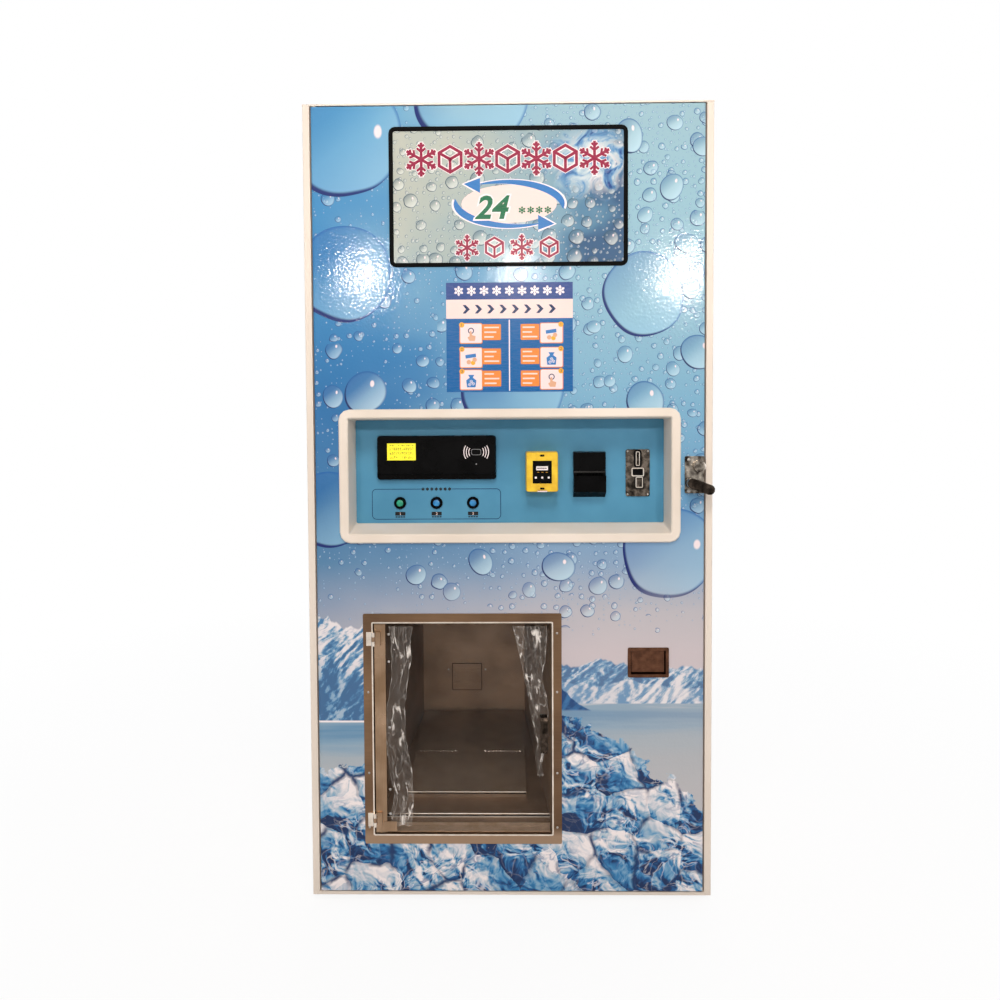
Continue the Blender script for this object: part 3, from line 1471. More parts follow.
def make_lock_handle(mat, body, axis):
    # A T handle in front, its shaft through the door and the cam behind it.
    tip = at_depth(0) - LOCK_REACH
    back = tip + HANDLE_THICKNESS
    cam_front = at_depth(DOOR_DEPTH) + CAM_GAP
    shaft_profile = [
        (0, tip + SLIP),
        (HANDLE_SHAFT_RADIUS, tip + SLIP),
        (HANDLE_SHAFT_RADIUS, cam_front + CAM_THICKNESS),
        (0, cam_front + CAM_THICKNESS),
    ]
    handle = turned(shaft_profile, "y", axis, SMALL_STEPS)
    round_off = HANDLE_BAR / 2 - SLIP
    outline = rounded_rect(0, 0, HANDLE_SPAN, HANDLE_BAR, round_off)
    small = rounded_rect(0, 0, HANDLE_SPAN - 2 * SLIP, HANDLE_BAR - 2 * SLIP, round_off - SLIP)
    tilt = radians(HANDLE_TILT)
    loops = []
    for shape, y in ((small, tip), (outline, tip + SLIP), (outline, back)):
        loops.append(
            [
                (
                    axis[0] + x * cos(tilt) + z * sin(tilt),
                    y,
                    axis[2] - x * sin(tilt) + z * cos(tilt),
                )
                for x, z in shape
            ]
        )
    bar = loft(loops)
    half = CAM_WIDTH / 2
    cam = block(
        (axis[0] - half, cam_front, axis[2] - CAM_REACH),
        (axis[0] + half, cam_front + CAM_THICKNESS, axis[2] + half),
    )
    join(handle, bar, cam)
    finish(handle, "lock_handle", mat["black"], body)


# Dispensing bay

def make_bay_frame(mat, body):
    z = at_height(BAY_CENTRE_HEIGHT)
    width = bay_inner_width()
    height = bay_inner_height()
    wall = 2 * BAY_WALL

    def ring(w, h, radius, depth):
        return upright_loop(BAY_CENTRE_X, z, w, h, radius, at_depth(depth))

    frame = loft(
        [
            ring(BAY_FRAME_WIDTH, BAY_FRAME_HEIGHT, BAY_FRAME_RADIUS, -FIT),
            ring(BAY_FRAME_WIDTH, BAY_FRAME_HEIGHT, BAY_FRAME_RADIUS, -BAY_PROUD),
            ring(width, height, BAY_CORNER, -BAY_PROUD),
            ring(width, height, BAY_CORNER, BAY_RETURN),
            ring(width + wall, height + wall, BAY_CORNER + BAY_WALL, BAY_RETURN),
            ring(width + wall, height + wall, BAY_CORNER + BAY_WALL, -FIT),
        ],
        ring=True,
    )
    finish(frame, "bay_frame", mat["steel"], body)


def make_bay_liner(mat, body):
    # A box on the back of the door that narrows to the rear, with a floor that falls forward.
    z = at_height(BAY_CENTRE_HEIGHT)
    gap = 2 * liner_gap()
    front_size = (bay_inner_width() + gap, bay_inner_height() + gap)
    rear_size = (BAY_REAR_WIDTH, front_size[1] - BAY_FLOOR_RISE)
    rear_z = z + BAY_FLOOR_RISE / 2
    skin = DOOR_DEPTH + FIT

    def ring(size, extra, centre, depth):
        radius = BAY_CORNER + max(extra, 0)
        return upright_loop(
            BAY_CENTRE_X, centre, size[0] + 2 * extra, size[1] + 2 * extra, radius, at_depth(depth)
        )

    liner = loft(
        [
            ring(rear_size, BAY_WALL, rear_z, BAY_DEPTH),
            ring(front_size, BAY_WALL, z, BAY_RETURN),
            ring(front_size, BAY_LINER_FLANGE, z, BAY_RETURN),
            ring(front_size, BAY_LINER_FLANGE, z, skin),
            ring(front_size, 0, z, skin),
            ring(front_size, 0, z, BAY_RETURN),
            ring(rear_size, 0, rear_z, BAY_DEPTH - BAY_WALL),
        ]
    )
    roof = z + front_size[1] / 2
    half = ROOF_HOLE / 2
    hole = block(
        (BAY_CENTRE_X - half, at_depth(ROOF_HOLE_DEPTH) - half, roof - OVERRUN),
        (BAY_CENTRE_X + half, at_depth(ROOF_HOLE_DEPTH) + half, roof + OVERRUN),
    )
    cut(liner, hole)
    dam_floor = liner_floor(DAM_DEPTH)
    narrowing = (front_size[0] - BAY_REAR_WIDTH) / (BAY_DEPTH - BAY_WALL - BAY_RETURN)
    dam_half = front_size[0] / 2 - narrowing * (DAM_DEPTH - BAY_RETURN) / 2 + BAY_WALL / 2
    dam = block(
        (BAY_CENTRE_X - dam_half, at_depth(DAM_DEPTH), dam_floor - BAY_WALL / 2),
        (BAY_CENTRE_X + dam_half, at_depth(DAM_DEPTH + DAM_WIDTH), dam_floor + DAM_HEIGHT),
    )
    join(liner, dam)
    finish(liner, "bay_liner", mat["steel"], body)


def liner_floor(depth):
    # Height of the liner's floor at a depth.
    start = bay_floor() - liner_gap()
    return start + (depth - BAY_RETURN) * BAY_FLOOR_RISE / (BAY_DEPTH - BAY_WALL - BAY_RETURN)


def make_drip_tray(mat, body):
    # A raised plate with turned-down edges and two rows of drain holes, laid on the slope.
    slope = liner_slope()
    length = (BAY_DEPTH - BAY_WALL - TRAY_REAR_GAP - TRAY_FRONT_DEPTH) / cos(slope)
    half = BAY_REAR_WIDTH / 2 - TRAY_SIDE_GAP
    tray = block((-half, 0, 0), (half, length, TRAY_LIFT))
    under = block(
        (-half + TRAY_SHEET, TRAY_SHEET, -OVERRUN),
        (half - TRAY_SHEET, length - TRAY_SHEET, TRAY_LIFT - TRAY_SHEET),
    )
    cut(tray, under)
    radius = TRAY_HOLE_RADIUS
    profile = [(0, 0), (radius, 0), (radius, TRAY_LIFT + OVERRUN), (0, TRAY_LIFT + OVERRUN)]
    holes = []
    for side in (-1, 1):
        for i in range(TRAY_HOLE_COUNT):
            x = side * (TRAY_HOLE_FIRST + i * TRAY_HOLE_PITCH)
            holes.append(turned(profile, "z", (x, TRAY_HOLE_DEPTH, 0), SMALL_STEPS // 2))
    cut(tray, *holes)
    floor = liner_floor(TRAY_FRONT_DEPTH) + FIT / cos(slope)
    spot = Matrix.Translation((BAY_CENTRE_X, at_depth(TRAY_FRONT_DEPTH), floor))
    tray.data.transform(spot @ Matrix.Rotation(slope, 4, "X"))
    finish(tray, "drip_tray", mat["steel"], body)


# Bay door

def stile_left():
    return bay_left() + BAY_DOOR_GAP


def bay_door_bottom():
    return bay_floor() + BAY_DOOR_GAP


def bay_door_top():
    return bay_floor() + bay_inner_height() - BAY_DOOR_GAP


def hinge_face():
    return at_depth(0) - BAY_PROUD - FIT


def hinge_round(z_low, z_high, radius):
    profile = [(0, z_low), (radius, z_low), (radius, z_high), (0, z_high)]
    return turned(profile, "z", (hinge_x(), hinge_y(), 0), SMALL_STEPS)


def hinge_web(side, z_low, z_high):
    # The strip that joins a knuckle to its leaf.
    reach = hinge_x() + side * (HINGE_BARREL_RADIUS + 2 * SLIP)
    low = (min(hinge_x(), reach), hinge_face() - HINGE_LEAF + FIT, z_low + SLIP)
    high = (max(hinge_x(), reach), hinge_face() - FIT, z_high - SLIP)
    return block(low, high)


def hinge_plate(side, z_low, z_high, back):
    # The leaf itself, from its front face back to a plane.
    near = hinge_x() + side * (HINGE_BARREL_RADIUS + SLIP)
    far = hinge_x() + side * (HINGE_BARREL_RADIUS + HINGE_LEAF_WIDTH)
    low = (min(near, far), hinge_face() - HINGE_LEAF, z_low)
    return block(low, (max(near, far), back, z_high))


def make_bay_hinges(mat, body):
    # Each hinge has two outer knuckles on the frame, joined by the pin.
    third = HINGE_HEIGHT / 3
    for name, z in hinge_centres().items():
        low = z - HINGE_HEIGHT / 2
        high = z + HINGE_HEIGHT / 2
        plate = hinge_plate(-1, low, high, hinge_face())
        parts = [hinge_round(low + SLIP, high - SLIP, HINGE_PIN_RADIUS)]
        for start, end in ((low, low + third), (high - third, high)):
            parts += [hinge_round(start, end, HINGE_BARREL_RADIUS), hinge_web(-1, start, end)]
        join(plate, *parts)
        finish(plate, f"bay_hinge_{name}", mat["zinc"], body)


def make_bay_stile(mat, body):
    # The hinge stile: an angle in plan, the foot bracket and the two moving knuckles.
    left = stile_left()
    right = left + STILE_WIDTH
    front = at_depth(STILE_SETBACK)
    outline = [
        (left, front),
        (right, front),
        (right, front + STILE_SHEET),
        (left + STILE_SHEET, front + STILE_SHEET),
        (left + STILE_SHEET, front + STILE_DEPTH),
        (left, front + STILE_DEPTH),
    ]
    stile = prism(outline, "z", bay_door_bottom(), bay_door_top())
    foot = block(
        (left + SLIP, front - STILE_SHEET / 2, bay_door_bottom() + STILE_SHEET),
        (left + BRACKET_LENGTH, front + STILE_SHEET / 2, bay_door_bottom() + BRACKET_HEIGHT),
    )
    parts = [foot]
    tools = []
    for z in hinge_centres().values():
        low = z - HINGE_HEIGHT / 2
        high = z + HINGE_HEIGHT / 2
        start = low + HINGE_HEIGHT / 3 + FIT
        end = high - HINGE_HEIGHT / 3 - FIT
        parts += [hinge_round(start, end, HINGE_BARREL_RADIUS), hinge_web(1, start, end)]
        parts.append(hinge_plate(1, low, high, front + STILE_SHEET / 2))
        tools.append(hinge_round(start - SLIP, end + SLIP, HINGE_PIN_RADIUS + FIT))
    join(stile, *parts)
    cut(stile, *tools)
    finish(stile, "bay_door_stile", mat["steel"], body)


def make_bay_pane(mat, body):
    left = stile_left() + PANE_TUCK
    right = bay_left() + bay_inner_width() - BAY_DOOR_GAP
    front = at_depth(STILE_SETBACK + STILE_SHEET) + FIT
    low = (left, front, bay_door_bottom())
    pane = block(low, (right, front + PANE_THICKNESS, bay_door_top()))
    finish(pane, "bay_door_pane", mat["clear"], body)


def pane_front():
    return at_depth(STILE_SETBACK + STILE_SHEET) + FIT


def make_pull(mat, body):
    # A bow handle: two feet on the pane and a bar that stands off it.
    foot = pane_front() - FIT
    proud = foot - PULL_PROUD
    z = at_height(PULL_CENTRE_HEIGHT)
    half = PULL_HEIGHT / 2
    step = PULL_SECTION
    outline = [
        (foot, z + half),
        (proud + step, z + half),
        (proud, z + half - step),
        (proud, z - half + step),
        (proud + step, z - half),
        (foot, z - half),
        (foot, z - half + step),
        (proud + step + step / 2, z - half + step),
        (proud + step, z - half + step + step / 2),
        (proud + step, z + half - step - step / 2),
        (proud + step + step / 2, z + half - step),
        (foot, z + half - step),
    ]
    pull = prism(outline, "x", PULL_X - PULL_WIDTH / 2, PULL_X + PULL_WIDTH / 2)
    finish(pull, "bay_door_pull", mat["steel"], body)


def make_films(mat, body):
    # Loose protective film that still hangs along both edges of the pane.
    back = pane_front() - FIT
    top = bay_door_top() - FILM_TOP_GAP
    left = stile_left() + STILE_WIDTH + FIT
    right = bay_left() + bay_inner_width() - BAY_DOOR_GAP - SLIP
    runs = {
        "film_left": (left, left + FILM_LEFT_WIDTH, FILM_DROP_SHARE["left"]),
        "film_right": (right - FILM_RIGHT_WIDTH, right, FILM_DROP_SHARE["right"]),
    }
    for name, (start, end, share) in runs.items():
        low_end = top - BAY_FRAME_HEIGHT * share
        film = block((start, back - FILM_THICKNESS, low_end), (end, back, top))
        if name == "film_right":
            half = PULL_HEIGHT / 2 + SLIP
            z = at_height(PULL_CENTRE_HEIGHT)
            low = (PULL_X - PULL_WIDTH / 2 - SLIP, back - OVERRUN, z - half)
            cut(film, block(low, (end + OVERRUN, back + OVERRUN, z + half)))
        finish(film, name, mat["film"], body)


# Bin, auger and chute

def make_bin_shelf(mat):
    # A folded shelf between the side walls that carries the bin.
    half = INNER_HALF - FIT
    top = at_height(BIN_BASE_HEIGHT) - FIT
    front = at_depth(SHELF_FRONT_DEPTH)
    rear = at_depth(SHELF_REAR_DEPTH)
    shelf = block((-half, front, shelf_underside()), (half, rear, top))
    hollow = block(
        (-half + FOLD_SHEET, front + FOLD_SHEET, shelf_underside() - OVERRUN),
        (half - FOLD_SHEET, rear - FOLD_SHEET, top - 2 * FOLD_SHEET),
    )
    cut(shelf, hollow)
    mouth = CHUTE_TOP / 2 + CHUTE_WALL + CHUTE_FLANGE
    collar = block(
        (BAY_CENTRE_X - mouth, chute_centre_y() - mouth, shelf_underside()),
        (BAY_CENTRE_X + mouth, chute_centre_y() + mouth, top - FOLD_SHEET),
    )
    join(shelf, collar)
    open_half = CHUTE_TOP / 2
    hole = block(
        (BAY_CENTRE_X - open_half, chute_centre_y() - open_half, shelf_underside() - OVERRUN),
        (BAY_CENTRE_X + open_half, chute_centre_y() + open_half, top + OVERRUN),
    )
    cut(shelf, hole)
    finish(shelf, "bin_shelf", mat["zinc"])


def bin_half():
    return BIN_WIDTH / 2


def make_ice_bin(mat):
    # An insulated hopper: sloped sides down to a round trough for the auger.
    half = bin_half()
    low = (BAY_CENTRE_X - half, at_depth(BIN_FRONT_DEPTH), at_height(BIN_BASE_HEIGHT))
    high = (BAY_CENTRE_X + half, at_depth(BIN_REAR_DEPTH), at_height(BIN_TOP_HEIGHT))
    hopper = block(low, high)
    inner = half - BIN_WALL
    top = high[2] + OVERRUN
    bend = at_height(BIN_SLOPE_TOP_HEIGHT)
    axis_z = at_height(TROUGH_AXIS_HEIGHT)
    outline = [(BAY_CENTRE_X + inner, bend), (BAY_CENTRE_X + inner, top)]
    outline += [(BAY_CENTRE_X - inner, top), (BAY_CENTRE_X - inner, bend)]
    for i in range(TROUGH_STEPS + 1):
        angle = pi + pi * i / TROUGH_STEPS
        outline.append((BAY_CENTRE_X + TROUGH_RADIUS * cos(angle), axis_z + TROUGH_RADIUS * sin(angle)))
    cavity = prism(outline, "y", low[1] + BIN_WALL, high[1] - BIN_WALL)
    outlet_half = OUTLET_WIDTH / 2
    outlet = block(
        (BAY_CENTRE_X - outlet_half, chute_centre_y() - outlet_half + BIN_WALL, low[2] - OVERRUN),
        (BAY_CENTRE_X + outlet_half, chute_centre_y() + outlet_half, axis_z),
    )
    bore = AUGER_SHAFT_RADIUS + FIT
    start = low[1] + BIN_WALL - AUGER_BEARING
    profile = [(0, start), (bore, start), (bore, high[1] + OVERRUN), (0, high[1] + OVERRUN)]
    shaft_way = turned(profile, "y", (BAY_CENTRE_X, 0, axis_z), ROUND_STEPS)
    cut(hopper, cavity, outlet, shaft_way)
    finish(hopper, "ice_bin", mat["steel"])


def make_auger(mat, body):
    # A shaft with one helical flight, which pushes the ice to the outlet at the front.
    front = at_depth(BIN_FRONT_DEPTH + BIN_WALL)
    rear = at_depth(BIN_REAR_DEPTH)
    start = front - AUGER_BEARING + FIT
    end = rear + AUGER_STUB
    axis_z = at_height(TROUGH_AXIS_HEIGHT)
    radius = AUGER_SHAFT_RADIUS
    shaft = turned(
        [(0, start), (radius, start), (radius, end), (0, end)],
        "y",
        (BAY_CENTRE_X, 0, axis_z),
        ROUND_STEPS,
    )
    first = front + AUGER_END_GAP
    loops = []
    steps = AUGER_TURNS * AUGER_STEPS
    for i in range(steps + 1):
        angle = 2 * pi * i / AUGER_STEPS
        y = first + AUGER_RUN * i / steps
        section = []
        for reach, shift in (
            (AUGER_RADIUS, -AUGER_FLIGHT / 2),
            (AUGER_RADIUS, AUGER_FLIGHT / 2),
            (radius / 2, AUGER_FLIGHT / 2),
            (radius / 2, -AUGER_FLIGHT / 2),
        ):
            section.append((BAY_CENTRE_X + reach * cos(angle), y + shift, axis_z + reach * sin(angle)))
        loops.append(section)
    join(shaft, loft(loops))
    finish(shaft, "bin_auger", mat["steel"], body)


def make_auger_motor(mat):
    # Flange, gearbox and motor in line behind the bin, with a bore for the auger's stub.
    face = at_depth(BIN_REAR_DEPTH) + FIT
    z = at_height(TROUGH_AXIS_HEIGHT)
    half = MOTOR_FLANGE / 2
    flange_back = face + MOTOR_FLANGE_THICKNESS
    flange = block(
        (BAY_CENTRE_X - half, face, z - half), (BAY_CENTRE_X + half, flange_back, z + half)
    )
    gear_back = flange_back + GEARBOX_LENGTH
    end = gear_back + MOTOR_LENGTH
    profile = [
        (0, flange_back - SLIP),
        (GEARBOX_RADIUS, flange_back - SLIP),
        (GEARBOX_RADIUS, gear_back),
        (MOTOR_RADIUS, gear_back),
        (MOTOR_RADIUS, end),
        (0, end),
    ]
    join(flange, turned(profile, "y", (BAY_CENTRE_X, 0, z), ROUND_STEPS))
    bore = AUGER_SHAFT_RADIUS + FIT
    deep = face + AUGER_STUB + SLIP
    bore_profile = [(0, face - OVERRUN), (bore, face - OVERRUN), (bore, deep), (0, deep)]
    cut(flange, turned(bore_profile, "y", (BAY_CENTRE_X, 0, z), ROUND_STEPS))
    finish(flange, "auger_motor", mat["grey"])


def make_chute(mat, body):
    # A short duct that narrows to the bay's roof, and the gate that closes it.
    y = chute_centre_y()
    top = shelf_underside() - FIT
    bay_roof = at_height(BAY_CENTRE_HEIGHT) + bay_inner_height() / 2 + liner_gap() + BAY_WALL
    bottom = bay_roof + CHUTE_ROOF_GAP
    wall = 2 * CHUTE_WALL

    def square(size, z):
        half = size / 2
        spots = ((-1, -1), (1, -1), (1, 1), (-1, 1))
        return [(BAY_CENTRE_X + half * a, y + half * b, z) for a, b in spots]

    chute = loft(
        [
            square(CHUTE_TOP, top),
            square(CHUTE_BOTTOM, bottom),
            square(CHUTE_BOTTOM + wall, bottom),
            square(CHUTE_TOP + wall, top - CHUTE_WALL),
            square(CHUTE_TOP + wall + CHUTE_FLANGE, top - CHUTE_WALL),
            square(CHUTE_TOP + wall + CHUTE_FLANGE, top),
        ],
        ring=True,
    )
    finish(chute, "ice_chute", mat["steel"])
    fall = top - gate_z()
    taper = (CHUTE_TOP - CHUTE_BOTTOM) / (top - bottom)
    half = (CHUTE_TOP - taper * (fall + GATE_PIN_RADIUS)) / 2 - FIT
    profile = [(0, -half), (GATE_PIN_RADIUS, -half), (GATE_PIN_RADIUS, half), (0, half)]
    gate = turned(profile, "x", (BAY_CENTRE_X, gate_y(), gate_z()), SMALL_STEPS)
    leaf_half = CHUTE_BOTTOM / 2 - GATE_END_GAP
    leaf = block(
        (BAY_CENTRE_X - leaf_half, y - leaf_half, gate_z() - GATE_THICKNESS / 2),
        (BAY_CENTRE_X + leaf_half, gate_y(), gate_z() + GATE_THICKNESS / 2),
    )
    join(gate, leaf)
    finish(gate, "chute_gate", mat["steel"], body)


# Ice maker

def make_ice_maker(mat):
    # A housing that is open below and in front, with cooling slots in its head.
    half = MAKER_WIDTH / 2
    front = maker_front()
    base = maker_base()
    top = base + MAKER_HEIGHT
    housing = block(
        (BAY_CENTRE_X - half, front, base), (BAY_CENTRE_X + half, front + MAKER_DEPTH, top)
    )
    inner = half - MAKER_WALL
    tools = [
        block(
            (BAY_CENTRE_X - inner, front - OVERRUN, base - OVERRUN),
            (BAY_CENTRE_X + inner, front + MAKER_BAY_DEPTH, top - MAKER_HEAD),
        )
    ]
    slot_half = MAKER_GRILLE_LENGTH / 2
    for i in range(MAKER_GRILLE_SLOTS):
        z = top - MAKER_HEAD / 2 + (i - (MAKER_GRILLE_SLOTS - 1) / 2) * MAKER_GRILLE_PITCH
        low = (BAY_CENTRE_X - slot_half, front - OVERRUN, z - MAKER_GRILLE_SLOT / 2)
        high = (BAY_CENTRE_X + slot_half, front + MAKER_GRILLE_DEPTH, z + MAKER_GRILLE_SLOT / 2)
        tools.append(block(low, high))
    cut(housing, *tools)
    finish(housing, "ice_maker", mat["steel"])


def make_grid(mat):
    # The evaporator: a plate with square cells, in which the cubes freeze.
    half = GRID_WIDTH / 2
    front = grid_front()
    base = maker_base() + GRID_LIFT
    plate = block(
        (BAY_CENTRE_X - half, front, base), (BAY_CENTRE_X + half, front + GRID_DEPTH, base + GRID_HEIGHT)
    )
    pitch_x = (GRID_WIDTH - GRID_WALL) / GRID_COLUMNS
    pitch_z = (GRID_HEIGHT - GRID_WALL) / GRID_ROWS
    cells = []
    for column in range(GRID_COLUMNS):
        for row in range(GRID_ROWS):
            x = BAY_CENTRE_X - half + GRID_WALL + column * pitch_x
            z = base + GRID_WALL + row * pitch_z
            high = (x + pitch_x - GRID_WALL, front + GRID_DEPTH - GRID_BACK, z + pitch_z - GRID_WALL)
            cells.append(block((x, front - OVERRUN, z), high))
    cut(plate, *cells)
    finish(plate, "evaporator_grid", mat["copper"])


def make_curtain(mat, body):
    # The splash curtain hangs from a rod in front of the grid and swings as ice falls.
    half = MAKER_WIDTH / 2 - MAKER_WALL - FIT
    rod = [(0, -half), (CURTAIN_ROD_RADIUS, -half), (CURTAIN_ROD_RADIUS, half), (0, half)]
    curtain = turned(rod, "x", (BAY_CENTRE_X, curtain_y(), curtain_z()), SMALL_STEPS)
    leaf_half = half - CURTAIN_SIDE_GAP
    leaf = block(
        (BAY_CENTRE_X - leaf_half, curtain_y() - CURTAIN_THICKNESS / 2, curtain_z() - CURTAIN_DROP),
        (BAY_CENTRE_X + leaf_half, curtain_y() + CURTAIN_THICKNESS / 2, curtain_z()),
    )
    join(curtain, leaf)
    finish(curtain, "water_curtain", mat["acrylic"], body)


# Refrigeration unit

def make_compressor(mat):
    # A hermetic can with a welded seam, on its mounting plate.
    y = at_depth(COMPRESSOR_CENTRE_DEPTH)
    floor = base_floor()
    half = COMPRESSOR_PLATE_SPAN / 2
    plate = block(
        (COMPRESSOR_X - half, y - half, floor), (COMPRESSOR_X + half, y + half, floor + COMPRESSOR_PLATE)
    )
    radius = COMPRESSOR_RADIUS
    low = floor + COMPRESSOR_PLATE - SLIP
    high = floor + COMPRESSOR_HEIGHT
    seam = (low + high) / 2
    lip = COMPRESSOR_SEAM_HEIGHT / 2
    profile = [(0, low), (radius * COMPRESSOR_FOOT_SHARE, low), (radius, low + radius / 3)]
    profile += [(radius, seam - lip), (radius + COMPRESSOR_SEAM, seam - lip)]
    profile += [(radius + COMPRESSOR_SEAM, seam + lip), (radius, seam + lip)]
    for i in range(CORNER_STEPS + 1):
        angle = pi / 2 * i / CORNER_STEPS
        drop = radius / 2
        profile.append((radius * cos(angle) if i < CORNER_STEPS else 0, high - drop + drop * sin(angle)))
    can = turned(profile, "z", (COMPRESSOR_X, y, 0), ROUND_STEPS)
    join(plate, can)
    finish(plate, "compressor", mat["black"], smooth=True)


def make_condenser(mat):
    # A finned block, seen in plan as a core with a comb of fins on both faces.
    rear = condenser_rear()
    half = CONDENSER_WIDTH / 2
    core_rear = rear - (CONDENSER_DEPTH - CONDENSER_CORE) / 2
    core_front = core_rear - CONDENSER_CORE
    front = rear - CONDENSER_DEPTH
    pitch = (CONDENSER_WIDTH - CONDENSER_FIN) / (CONDENSER_FINS - 1)
    near = []
    far = []
    for i in range(CONDENSER_FINS):
        x = CONDENSER_X - half + i * pitch
        near += [(x, core_front), (x, front), (x + CONDENSER_FIN, front), (x + CONDENSER_FIN, core_front)]
        far += [(x, core_rear), (x, rear), (x + CONDENSER_FIN, rear), (x + CONDENSER_FIN, core_rear)]
    outline = near[1:-1] + list(reversed(far[1:-1]))
    block_body = prism(outline, "z", base_floor(), base_floor() + CONDENSER_HEIGHT)
    finish(block_body, "condenser", mat["zinc"])


def make_fan_shroud(mat):
    # A plate with a ring for the fan, three arms and the motor in the middle.
    rear = shroud_rear()
    front = rear - SHROUD_SHEET
    half = CONDENSER_WIDTH / 2
    low = base_floor()
    shroud = block(
        (CONDENSER_X - half, front, low), (CONDENSER_X + half, rear, low + CONDENSER_HEIGHT)
    )
    spot = (CONDENSER_X, 0, fan_z())
    outer = FAN_RADIUS + FAN_TIP_GAP + SHROUD_SHEET
    rim_front = rear - SHROUD_RIM
    motor_front = rim_front - FAN_MOTOR_LENGTH
    arm_back = rim_front + SLIP
    arms = []
    for i in range(FAN_ARM_COUNT):
        arm_half = FAN_ARM_WIDTH / 2
        inner = FAN_MOTOR_RADIUS / 2
        arm = block((inner, arm_back - FAN_ARM_WIDTH, -arm_half), (outer, arm_back, arm_half))
        turn = Matrix.Rotation(pi / 2 + 2 * pi * i / FAN_ARM_COUNT, 4, "Y")
        arm.data.transform(Matrix.Translation(spot) @ turn)
        arms.append(arm)
    ring_profile = [
        (outer, rear - SHROUD_SHEET / 2),
        (outer, rim_front),
        (outer - SHROUD_SHEET, rim_front),
        (outer - SHROUD_SHEET, rear - SHROUD_SHEET / 2),
    ]
    rim = turned(ring_profile, "y", spot, WIDE_STEPS, ring=True)
    hole_radius = outer - SHROUD_SHEET
    start = front - OVERRUN
    end = rear + OVERRUN
    hole = turned(
        [(0, start), (hole_radius, start), (hole_radius, end), (0, end)],
        "y",
        spot,
        WIDE_STEPS,
    )
    cut(shroud, hole)
    motor_back = fan_y() - FAN_HUB_LENGTH / 2 - SLIP
    motor_profile = [
        (0, motor_front),
        (FAN_MOTOR_RADIUS, motor_front),
        (FAN_MOTOR_RADIUS, motor_back - SLIP),
        (FAN_SHAFT_RADIUS, motor_back - SLIP),
        (FAN_SHAFT_RADIUS, fan_y() + FAN_HUB_LENGTH / 4),
        (0, fan_y() + FAN_HUB_LENGTH / 4),
    ]
    join(shroud, rim, turned(motor_profile, "y", spot, SMALL_STEPS), *arms)
    finish(shroud, "fan_shroud", mat["grey"])


def fan_blade(index):
    # A twisted blade: its pitch falls from the root to the tip.
    loops = []
    base = 2 * pi * index / FAN_BLADES
    for i in range(FAN_BLADE_STEPS + 1):
        share = i / FAN_BLADE_STEPS
        root = FAN_HUB_RADIUS * FAN_ROOT_SHARE
        radius = root + share * (FAN_RADIUS - root)
        pitch = radians(FAN_BLADE_ROOT_ANGLE + share * (FAN_BLADE_TIP_ANGLE - FAN_BLADE_ROOT_ANGLE))
        spread = FAN_ROOT_ARC_SHARE + (1 - FAN_ROOT_ARC_SHARE) * share
        half = radians(FAN_BLADE_ARC) / 2 * spread
        swing = min(half * radius * sin(pitch), FAN_HUB_LENGTH / 2 - FAN_BLADE_THICKNESS)
        section = []
        for side, face in ((-1, -1), (1, -1), (1, 1), (-1, 1)):
            angle = base + side * half
            y = fan_y() + side * swing + face * FAN_BLADE_THICKNESS / 2
            section.append((CONDENSER_X + radius * cos(angle), y, fan_z() + radius * sin(angle)))
        loops.append(section)
    return loft(loops)


def make_fan(mat, body):
    low = fan_y() - FAN_HUB_LENGTH / 2
    high = fan_y() + FAN_HUB_LENGTH / 2
    bore = FAN_SHAFT_RADIUS + FIT
    deep = fan_y() + FAN_HUB_LENGTH / 4 + SLIP
    profile = [
        (FAN_HUB_RADIUS, low),
        (FAN_HUB_RADIUS, high - FAN_BLADE_THICKNESS),
        (FAN_HUB_RADIUS - FAN_BLADE_THICKNESS, high),
        (0, high),
        (0, deep),
        (bore, deep),
        (bore, low),
    ]
    hub = turned(profile, "y", (CONDENSER_X, 0, fan_z()), ROUND_STEPS, ring=True)
    join(hub, *[fan_blade(i) for i in range(FAN_BLADES)])
    finish(hub, "condenser_fan", mat["black"], body)


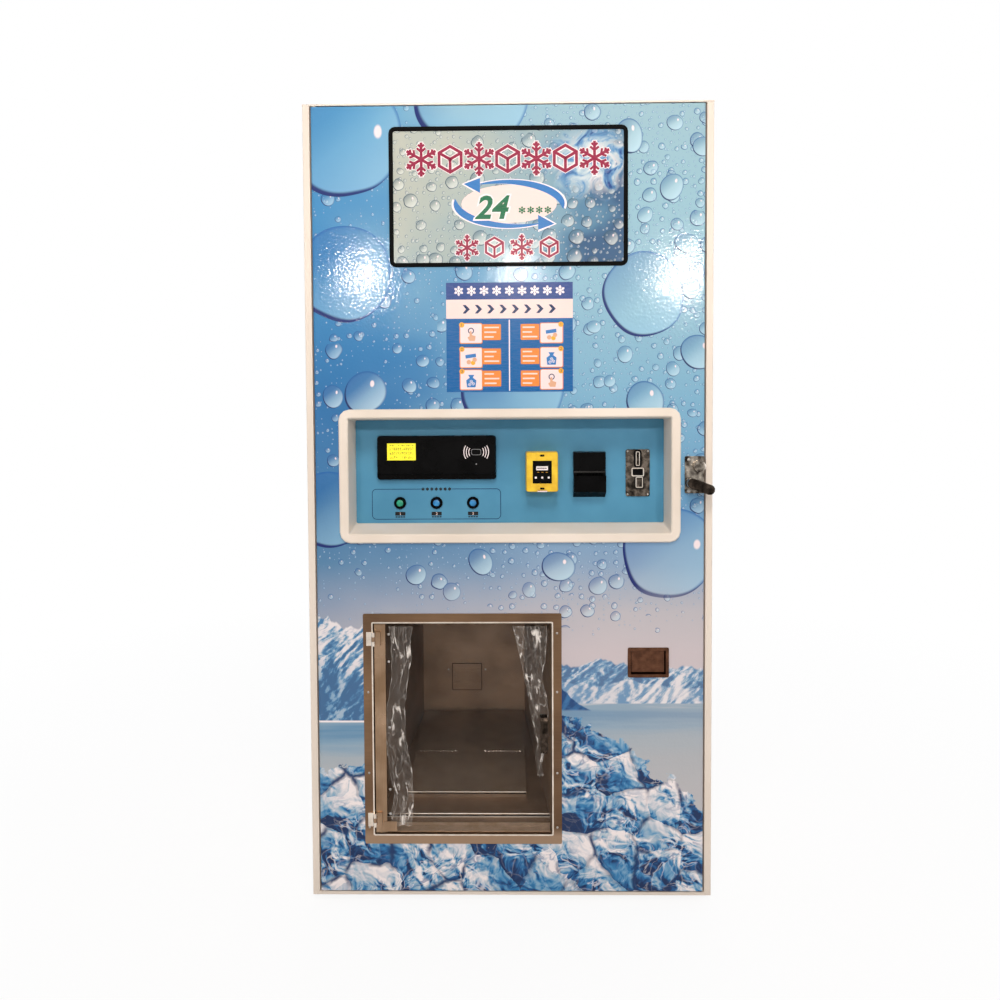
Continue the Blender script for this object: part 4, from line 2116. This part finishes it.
def make_control_box(mat):
    # The electrical box on the right wall, with a lid and its seam.
    wall = INNER_HALF - FIT
    front = at_depth(CONTROL_BOX_FRONT_DEPTH)
    low = (wall - CONTROL_BOX_DEPTH, front, at_height(CONTROL_BOX_BASE_HEIGHT))
    high = (wall, low[1] + CONTROL_BOX_RUN, low[2] + CONTROL_BOX_HEIGHT)
    box = block(low, high)
    inset = CONTROL_BOX_SEAM
    neck_low = low[0] + CONTROL_BOX_LID
    outer_low = (neck_low, low[1] - OVERRUN, low[2] - OVERRUN)
    outer_high = (neck_low + inset, high[1] + OVERRUN, high[2] + OVERRUN)
    seam = block(outer_low, outer_high)
    core = block(
        (neck_low - OVERRUN, low[1] + inset, low[2] + inset),
        (neck_low + inset + OVERRUN, high[1] - inset, high[2] - inset),
    )
    cut(seam, core)
    cut(box, seam)
    finish(box, "control_box", mat["grey"])


def main():
    clear_scene()
    mat = make_materials()
    bodies = make_bodies()
    door = bodies["door_body"]
    make_feet(mat)
    make_side_panels(mat)
    make_top_panel(mat)
    make_base_frame(mat)
    make_rear_panel(mat)
    make_rear_vent(mat)
    make_power_inlet(mat)
    make_lock_keeper(mat)
    make_front_door(mat, door)
    make_sign(mat, door)
    make_control_bezel(mat, door)
    make_control_panel(mat, door)
    make_display(mat, door)
    make_buttons(mat, bodies)
    make_terminal(mat, door)
    make_bill_acceptor(mat, door)
    make_coin_acceptor(mat, bodies)
    make_coin_cup(mat, bodies)
    make_lock(mat, bodies)
    make_bay_frame(mat, door)
    make_bay_liner(mat, door)
    make_drip_tray(mat, door)
    make_bay_hinges(mat, door)
    make_bay_stile(mat, bodies["bay_door_body"])
    make_bay_pane(mat, bodies["bay_door_body"])
    make_pull(mat, bodies["bay_door_body"])
    make_films(mat, bodies["bay_door_body"])
    make_bin_shelf(mat)
    make_ice_bin(mat)
    make_auger(mat, bodies["auger_body"])
    make_auger_motor(mat)
    make_chute(mat, bodies["gate_body"])
    make_ice_maker(mat)
    make_grid(mat)
    make_curtain(mat, bodies["curtain_body"])
    make_compressor(mat)
    make_condenser(mat)
    make_fan_shroud(mat)
    make_fan(mat, bodies["fan_body"])
    make_control_box(mat)


main()
